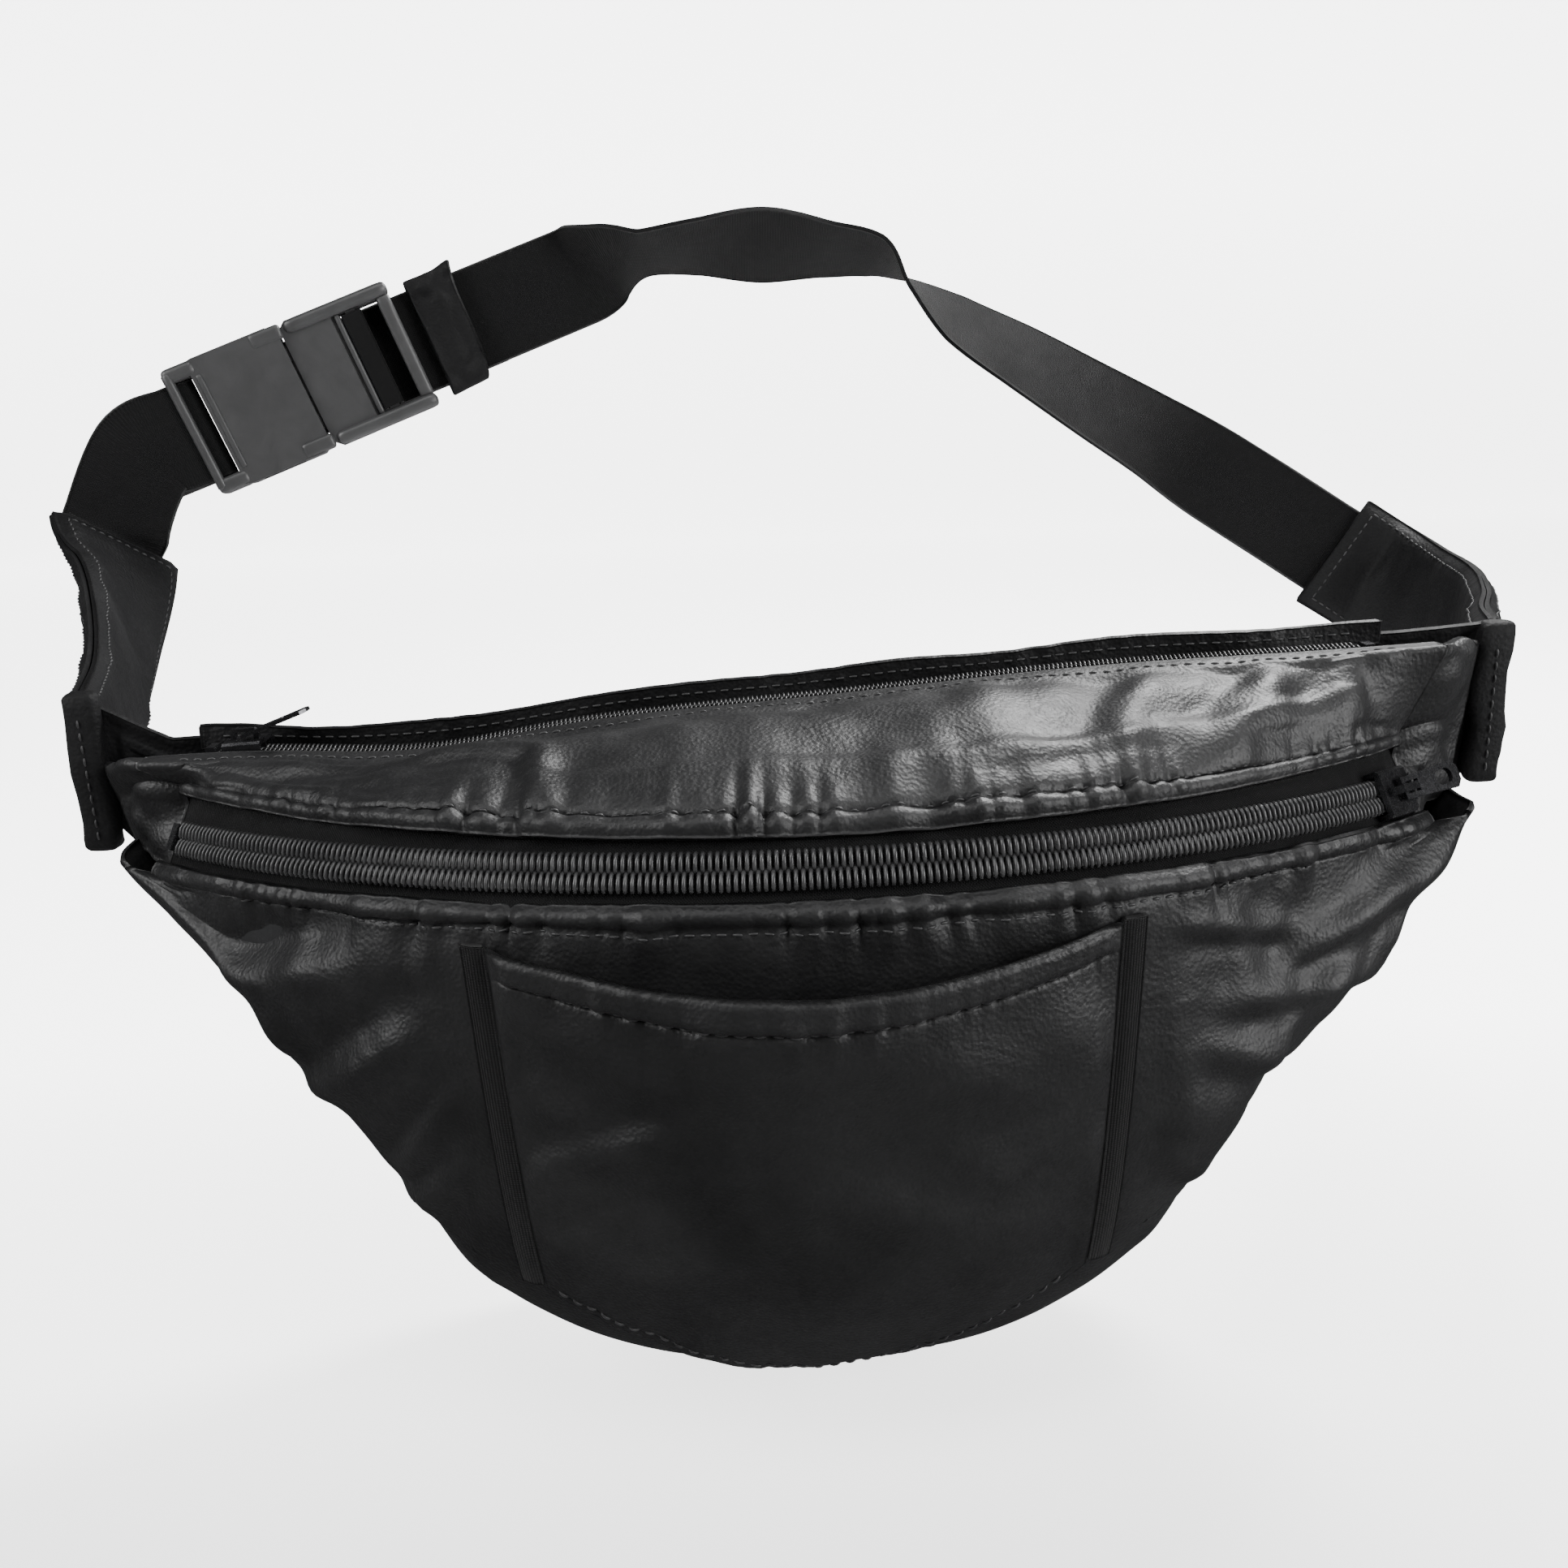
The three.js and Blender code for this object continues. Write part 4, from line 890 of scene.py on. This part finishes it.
def on_rear(x, across, out):
    x, across, out = np.broadcast_arrays(x, across, out)
    base = np.stack([x, REAR_ZIP_Y + across, rear_zip_z(x)], axis=-1)
    return base + out[..., None] * REAR_OUT


def rear_tooth_frames(shift, pitch=1.2):
    places = np.arange(-152, 151, pitch) + shift * pitch
    return [(on_rear(x, 0, 0), REAR_ALONG, vec(0, 1, 0), REAR_OUT) for x in places]


rear_x = np.linspace(-158, 158, 220)[None, :]
add_sheet("rear_tape_front_cloth", on_rear(rear_x, np.linspace(-9.5, -0.8, 6)[:, None], -0.4), 0.8, TAPE_REAR,
          replaces=["rear_tape_front"])
add_sheet("rear_tape_back_cloth", on_rear(rear_x, np.linspace(0.8, 6.3, 5)[:, None], -0.4), 0.8, TAPE_REAR,
          replaces=["rear_tape_back"])
add_coil("rear_coil_back_teeth", rear_tooth_frames(0), 1, REAR_SCALE, ["rear_coil_back"], COIL_REAR)
add_coil("rear_coil_front_teeth", rear_tooth_frames(0.5), -1, REAR_SCALE, ["rear_coil_front"], COIL_REAR)


# ---------------------------------------------------------------- ribbons: wings, webbing, keeper
def ribbon_grid(points, across, halves, offset=0.0, columns=33):
    """Grid along a ribbon: rows follow the points, columns run from edge to edge."""
    tangents = unit(np.gradient(points, axis=0))
    across = unit(across - (across * tangents).sum(axis=1, keepdims=True) * tangents)
    out = np.cross(across, tangents)
    k = np.linspace(-1, 1, columns)
    grid = points[:, None] + across[:, None] * (k[None, :] * halves[:, None])[..., None]
    return grid + out[:, None] * offset, out, k


LEFT_WING = Curve([(-191.8, -1, 147), (-205, 40, 149), (-228, 100, 158), (-247, 150, 171), (-258, 180, 190)])
RIGHT_WING = Curve([(191.8, -1, 151), (209, 40, 147), (238, 100, 142), (260, 160, 140), (264, 205, 142),
                    (256, 228, 149), (240, 236, 160)])
LEFT_TIP = vec(-0.68, 0, 0.73)
RIGHT_TIP = vec(0.58, 0, 0.81)


def wing_frames(curve, tip, base_half, tip_half, t):
    points = curve.at(t)
    across = (1 - t[:, None] ** 2) * vec(0, 0, 1) + t[:, None] ** 2 * tip
    return points, across, base_half + (tip_half - base_half) * t


def add_wing(name, curve, tip, seed, sides):
    t = np.linspace(0, 1, 150)
    points, across, halves = wing_frames(curve, tip, 22, 25, t)
    length = lengths_along(points)
    for part, offset, replaced in sides:
        grid, out, k = ribbon_grid(points, across, halves, offset, 41)
        sign = np.sign(offset)
        where, edge = length[:, None] + 0 * k[None, :], k[None, :] * halves[:, None]
        puff = 1.3 * (1 - np.abs(k[None, :]) ** 6)
        puff = puff - 0.7 * np.exp(-(((np.abs(edge) - halves[:, None] + 4) / 1.0) ** 2))
        creases = 0.6 * Ripple(seed, 46)(where, edge * 0.6) + 0.25 * Ripple(seed + 1, 16)(where, edge * 0.5)
        creases += seam_pucker(where, np.abs(edge) - halves[:, None] + 4, seed + 2, 3, 0.25, 7)
        hold = smooth_step(length, 0, 6)[:, None] * smooth_step(length, length[-1], length[-1] - 6)[:, None]
        hold = hold * smooth_step(1 - np.abs(k), 0, 0.16)[None, :]
        sewn = 1.55 * (1 - smooth_step(halves[:, None] - np.abs(edge), 0, 4.5))
        rise = (0.9 + puff * 0.7 + creases * 0.5).clip(0, 3) * hold - sewn
        grid = grid + out[:, None] * (sign * rise)[..., None]
        add_sheet(f"{name}_{part}_leather", grid, 1.4, LEATHER_MATT, replaces=[replaced])
        for row, label in ((3, "low"), (37, "high")):
            lift = out * sign * 0.75
            add_stitches(f"{name}_{part}_stitches_{label}", grid[3:-3, row] + lift[3:-3], (out * sign)[3:-3])
        lift = out[-4] * sign * 0.75
        add_stitches(f"{name}_{part}_stitches_tip", grid[-6, 3:-3] + lift, np.tile(out[-6] * sign, (35, 1)))


add_wing("wing_left", LEFT_WING, LEFT_TIP, 71,
         [("inner", 2.35, "wing_left_inner"), ("outer", -2.35, "wing_left_outer")])
add_wing("wing_right", RIGHT_WING, RIGHT_TIP, 81,
         [("inner", -2.35, "wing_right_inner"), ("outer", 2.35, "wing_right_outer")])

BUCKLE_MOUTH = vec(-186, 210, 245)
BELT_ALONG = unit(vec(*joints["buckle_release"]["axis"]))
BELT_OUT = unit(vec(0, -1, 0) + BELT_ALONG * BELT_ALONG[1])
BELT_ACROSS = unit(np.cross(BELT_OUT, BELT_ALONG))
WEB_HALF = 19.0
MAIN_OUT, TAIL_OUT = -4.8, -6.8
STRAIGHT_START, STRAIGHT_END, TAIL_END = 23.5, 118, 80


def on_belt(along, across=0.0, out=0.0):
    along, across, out = np.broadcast_arrays(np.asarray(along, float), across, out)
    forward = BUCKLE_MOUTH + along[..., None] * BELT_ALONG
    return forward + across[..., None] * BELT_ACROSS + out[..., None] * BELT_OUT


def past_tip(curve, stations, distance):
    tip = curve.at(1)[0]
    return tip + unit(tip - curve.at(1 - 1 / stations)[0]) * distance


def add_webbing(name, points, across, replaced, seed, curl=0.5):
    """Flat webbing, slightly cupped except near its start, where it lies in the buckle."""
    count = max(int(np.linalg.norm(np.diff(points, axis=0), axis=1).sum() / 1.2), 20)
    steps = lengths_along(points)
    places = np.linspace(0, steps[-1], count)
    points, across = at_places(points, steps, places), at_places(across, steps, places)
    grid, out, k = ribbon_grid(points, across, np.full(count, WEB_HALF), 0, 31)
    cup = curl * (k[None, :] ** 2 - 0.4) * Ripple(seed, 90, 1, 5)(places)[:, None]
    cup = cup * smooth_step(places, 55, 90)[:, None]
    grid = grid + out[:, None] * cup[..., None]
    return add_sheet(name, grid.transpose(1, 0, 2), 1.6, WEBBING, ROOT, [replaced])


def left_webbing():
    t = np.linspace(1 - 2 / 14, 1, 8)
    points, across, _ = wing_frames(LEFT_WING, LEFT_TIP, WEB_HALF, WEB_HALF, t)
    rise = Curve([LEFT_WING.at(1)[0], past_tip(LEFT_WING, 14, 7), on_belt(-66, 0, 3.6), on_belt(-52, 0, 3.3)])
    u = np.linspace(0.08, 1, 24)
    turn = np.linspace(0, math.pi, 14)
    bend = on_belt(-43.6 + 4.9 * np.sin(turn), 0, 3.3 * np.cos(turn))
    tail = on_belt(np.array([-54.0, -64.0]), 0, np.array([-3.3, -0.9]))
    mix = np.clip((u - 0.33) / 0.4, 0, 1)[:, None]
    tip_across = across[-1]
    points = np.concatenate([points, rise.at(u), bend[1:], tail])
    rise_across = (1 - mix) * tip_across + mix * BELT_ACROSS
    across = np.concatenate([across, rise_across, np.tile(BELT_ACROSS, (15, 1))])
    return points, across


add_webbing("webbing_left_weave", *left_webbing(), "webbing_left", 91, curl=0)

WEB_RUN = [((-64, 236.7, 289.8), 44), ((-49, 237, 292.6), 68), ((-28, 237, 293.8), 61),
           ((-2, 237, 293.2), 47), ((24, 237, 290.8), 61), ((44, 237, 288), 70),
           ((58, 237, 277), 98), ((77, 237, 262), 122),
           ((104, 237, 246.5), 134), ((132, 237, 229), 144), ((160, 237, 212), 154), ((188, 237, 194), 172)]
WEB_POINTS = [on_belt(STRAIGHT_END - 8, 0, MAIN_OUT), on_belt(STRAIGHT_END, 0, MAIN_OUT),
              *[vec(*point) for point, _ in WEB_RUN],
              past_tip(RIGHT_WING, 18, 7), RIGHT_WING.at(1)[0]]
WEB_TWIST = [0, 0, *[twist for _, twist in WEB_RUN], 180, 180]


def main_webbing():
    path = Curve(WEB_POINTS)
    twist = Curve([(angle, 0, 0) for angle in WEB_TWIST])
    t = np.linspace(0.01, 1, 320)
    points = path.at(t)
    tangents = unit(np.gradient(points, axis=0))
    angles = np.radians(twist.at(t)[:, :1])
    out = unit(vec(0, -1, 0) + tangents * tangents[:, 1:2])
    side = unit(np.cross(out, tangents))
    across = side * np.cos(angles) + np.cross(tangents, side) * np.sin(angles)
    straight = on_belt(np.array([STRAIGHT_START, 60, STRAIGHT_END - 10]), 0, MAIN_OUT)
    inside = np.linspace(1, 1 - 2 / 18, 8)[1:]
    wing_points, wing_across, _ = wing_frames(RIGHT_WING, RIGHT_TIP, WEB_HALF, WEB_HALF, inside)
    return np.concatenate([straight, points, wing_points]), np.concatenate(
        [np.tile(BELT_ACROSS, (3, 1)), across, -wing_across])


add_webbing("webbing_main_weave", *main_webbing(), "webbing_main", 95)
tail_along = np.linspace(STRAIGHT_START, TAIL_END, 12)
add_webbing("webbing_tail_weave", on_belt(tail_along, 0, TAIL_OUT), np.tile(BELT_ACROSS, (12, 1)),
            "webbing_tail", 97, curl=0)

# ---------------------------------------------------------------- ends, back, lip, piping and keeper
def add_gusset(side, name):
    """Soft leather corner that closes the end of the pouch, from the top panel's end to the back panel."""
    end = -1 if side > 0 else 0
    below = on_zip(side * ZIP_HALF_ANGLE, np.linspace(9, -9, 7), np.linspace(-0.5, -1.5, 7))
    column = np.concatenate([top[:, end], below])
    steps = lengths_along(column)
    inner = at_places(column, steps, np.linspace(0, steps[-1], 40))
    inner[:, 0] -= side * 1.5
    k = np.linspace(0, 1, 40)[:, None]
    high = vec(side * 186.5, -4.0, rear_zip_z(side * 186) - 1.5)
    low = vec(side * 181, -3.8, 127)
    outer = high * (1 - k) + low * k
    t = np.linspace(0, 1, 26)
    rows = []
    for share in t:
        row = inner * (1 - share) + outer * share
        bulge = math.sin(math.pi * min(share * 1.15, 1))
        row = row + bulge * (vec(side * 2.0, -3.0, 3.4) * np.sin(np.pi * k) ** 0.5)
        rows.append(row)
    grid = np.array(rows)
    if side < 0:
        grid = grid[::-1]
    folds = 0.8 * Ripple(61 + side, 15)(grid[..., 1], grid[..., 2]) * np.sin(np.pi * t)[:, None] ** 0.7
    grid = grid + grid_normals(grid) * folds[..., None]
    add_sheet(f"{name}_leather", grid, 1.6, LEATHER, replaces=[name])


def add_wing_binding(side, name, height):
    """Folded leather strip sewn over the joint between the pouch's end and the wing."""
    def crumpled(points):
        pushed = points.copy()
        pushed[:, 0] += side * 0.5 * Ripple(171 + side, 13)(points[:, 1], points[:, 2])
        return pushed
    low_x, high_x = sorted((side * 185.6, side * 195.6))
    blocks = [((low_x, -6.6, height - 22.5), (high_x, 1.4, height + 22.5), 2.9)]
    add_rounded_blocks(name, blocks, LEATHER_MATT, ROOT, crumpled)
    z = np.linspace(height - 19, height + 19, 40)
    line = np.stack([np.full(40, side * 190.5), np.full(40, -6.7), z], axis=-1)
    add_stitches(f"{name}_stitches", line, np.tile(vec(0, -1, 0), (40, 1)))


add_gusset(-1, "end_cap_left")
add_gusset(1, "end_cap_right")
add_wing_binding(-1, "wing_left_binding", 147)
add_wing_binding(1, "wing_right_binding", 151)


def back_outline(x):
    """Lowest and highest z of the back panel at each x."""
    along = np.linspace(0, 1, 241)
    seam_x, seam_z = seam_point(along)
    tangent = unit(np.stack([np.gradient(seam_x), np.gradient(seam_z)], axis=-1))
    edge_x = np.r_[seam_x + 3 * tangent[:, 1], 188]
    edge_z = np.r_[seam_z - 3 * tangent[:, 0], 133]
    low = np.interp(np.abs(x), edge_x, edge_z)
    sag = rear_zip_z(x) - 160 - REAR_ZIP_SLOPE * x
    high = np.interp(x, [-188, -168, 168, 188], [165.6, 155, 171, 172.6]) + sag
    return low, high


def add_back_panel():
    x = np.linspace(-187.6, 187.6, 300)
    low, high = back_outline(x)
    k = np.linspace(0, 1, 130)[:, None]
    z = high * (1 - k) + low * k
    x = np.broadcast_to(x, z.shape)
    inside = np.minimum(np.minimum(z - low, high - z), 187.6 - np.abs(x))
    dent = 0.9 * np.exp(-(((inside - 7) / 1.3) ** 2)) + 0.55 * smooth_step(inside, 4, 0)
    dent = dent + 0.16 * (1 + Ripple(131, 45)(x, z)) + 0.1 * (1 + Ripple(132, 16)(x, z))
    grid = np.stack([x, -0.72 - np.clip(dent, 0, 1.2), z], axis=-1)
    add_sheet("back_panel_leather", grid[:, ::-1], 1.3, LEATHER_MATT, replaces=["back_panel"])
    angle = np.linspace(0, 1, 160)
    seam_x = np.interp(angle, [0, 1], [-170, 170])
    low, high = back_outline(seam_x)
    line = np.stack([seam_x, np.full(160, -0.95), low + 7.5], axis=-1)
    add_stitches("back_panel_stitches_low", line, np.tile(vec(0, 1, 0), (160, 1)))
    line = np.stack([seam_x, np.full(160, -0.95), high - 7], axis=-1)
    add_stitches("back_panel_stitches_high", line, np.tile(vec(0, 1, 0), (160, 1)))


add_back_panel()


def add_rear_lip():
    x = np.linspace(-159.6, 159.6, 240)[None, :]
    k = np.linspace(0, 1, 14)[:, None]
    sway = (0.5 * Ripple(141, 55, 1, 6)(x[0]) + 0.15 * Ripple(142, 9, 1, 8)(x[0]))[None, :] * (1 - k)
    z = rear_zip_z(x) + 6.3 - 5.8 * k + 0.4 * Ripple(143, 70, 1, 5)(x[0])[None, :] * (1 - k)
    grid = np.stack([x + 0 * k, -2.95 + sway, z], axis=-1)
    add_sheet("rear_lip_leather", grid, 1.2, LEATHER_EDGE, replaces=["rear_lip"])
    normals = -np.abs(grid_normals(grid)) * vec(0, 1, 0)
    add_stitches("rear_lip_stitches", grid[6, 4:-4] + vec(0, -0.65, 0), normals[6, 4:-4])


add_rear_lip()


def add_piping():
    """Turned leather cord sewn along the seam, slightly uneven along its length."""
    along = np.linspace(-1, 1, 700)
    seam_x, seam_z = seam_point(along)
    tangent = unit(np.stack([np.gradient(seam_x), np.zeros(700), np.gradient(seam_z)], axis=-1))
    away = np.stack([tangent[:, 2], np.zeros(700), -tangent[:, 0]], axis=-1)
    centre = np.stack([seam_x, np.full(700, -4.0), seam_z], axis=-1) + away * 4
    turn = np.linspace(0, 2 * np.pi, 13)[:-1]
    length = lengths_along(centre)
    radius = 1.4 + 0.09 * Ripple(151, 3.2, 1, 8)(length)
    ring = (away[:, None] * np.cos(turn)[None, :, None] + vec(0, 1, 0) * np.sin(turn)[None, :, None])
    points = centre[:, None] + ring * radius[:, None, None]
    faces = [(i * 12 + j, i * 12 + (j + 1) % 12, (i + 1) * 12 + (j + 1) % 12, (i + 1) * 12 + j)
             for i in range(699) for j in range(12)]
    faces += [tuple(range(11, -1, -1)), tuple(range(699 * 12, 700 * 12))]
    add_mesh("seam_piping_leather", points.reshape(-1, 3), faces, LEATHER_EDGE, ROOT, ["seam_piping"])


add_piping()


def add_keeper():
    """Crumpled leather loop round the webbing, wider towards its far edge."""
    around = np.linspace(0, 2 * np.pi, 97)[:-1]
    steps = np.linspace(0, 1, 26)
    square = 0.28
    cos, sin = np.cos(around), np.sin(around)
    half_wide, half_thick = 22.3, 5.4
    rows = []
    for step in steps:
        flare = 1 + 0.07 * smooth_step(step, 0.5, 1) * (cos > 0) + 0.05 * (1 - step) * (cos < 0)
        across = np.sign(cos) * np.abs(cos) ** square * half_wide * flare
        out = np.sign(sin) * np.abs(sin) ** square * (half_thick + 1.2 * step * (sin > 0))
        skew = 3.0 * cos
        along = 53 + 17.5 * step + skew * step * 0.7
        crumple = 0.55 * Ripple(161, 17)(along, across) + 0.3 * Ripple(162, 7)(along, across)
        rows.append(on_belt(along, across, -5.8 + out + np.sign(sin) * crumple))
    grid = np.array(rows)
    grid = np.concatenate([grid, grid[:, :1]], axis=1)
    add_sheet("strap_keeper_leather", grid, 1.3, LEATHER_MATT, "strap_keeper", ["strap_keeper"])


add_keeper()


def belt_place(points):
    return on_belt(points[:, 0], points[:, 1], points[:, 2])


def add_buckle_details():
    """Raised rails of the plug, ears and rims of the socket: moulded features on the plain bodies."""
    rails = []
    for side in (-1, 1):
        low, high = sorted((side * 20.2, side * 25.6))
        rails.append(((3, low, -3.9), (46, high, 6.0), 2.3))
    rails.append(((22.3, -20.5, -2.4), (24.6, 20.5, 4.6), 1.1))
    rails.append(((40, -21, -3.2), (45.6, 21, 4.9), 1.8))
    rails.append(((-9, -18.8, -2.6), (4, 18.8, 2.2), 0.9))
    add_rounded_blocks("buckle_plug_rails", rails, PLASTIC, "buckle_plug", belt_place)
    rims = []
    for side in (-1, 1):
        low, high = sorted((side * 19.4, side * 25.4))
        rims.append(((-11.5, low, 3.2), (1.8, high, 6.7), 1.7))
        rims.append(((-47.4, low, -5.6), (-34, high, 6.6), 2.2))
    rims.append(((-47.5, -24, 3.4), (-43.6, 24, 6.9), 1.7))
    rims.append(((-35.5, -19, 5.0), (-33.2, 19, 6.5), 0.7))
    add_rounded_blocks("buckle_socket_rims", rims, PLASTIC, ROOT, belt_place)


add_buckle_details()
for name, width in (("buckle_socket", 0.9), ("buckle_plug", 0.8), ("prong_upper", 0.6), ("prong_lower", 0.6),
                    ("front_slider", 0.5), ("front_pull_tab", 0.35), ("rear_slider", 0.4),
                    ("rear_pull_tab", 0.3)):
    rounding = frame["nodes"][name].modifiers.new("rounding", "BEVEL")
    rounding.width = width * MM
    rounding.segments = 3
    rounding.limit_method = "ANGLE"
    rounding.angle_limit = math.radians(35)

for name, material in (("back_padding", LINING), ("rear_pocket_divider", LINING), ("main_lining", LINING),
                       ("front_stop_left", METAL), ("front_stop_right", METAL), ("rear_stop_left", METAL),
                       ("rear_stop_right", METAL), ("front_slider", METAL), ("front_pull_tab", METAL),
                       ("rear_slider", METAL), ("rear_pull_tab", METAL), ("buckle_socket", PLASTIC),
                       ("buckle_plug", PLASTIC), ("prong_upper", PLASTIC), ("prong_lower", PLASTIC),
                       ("webbing_bar_loop", WEBBING)):
    replaced_material(name, material)

add_stage()
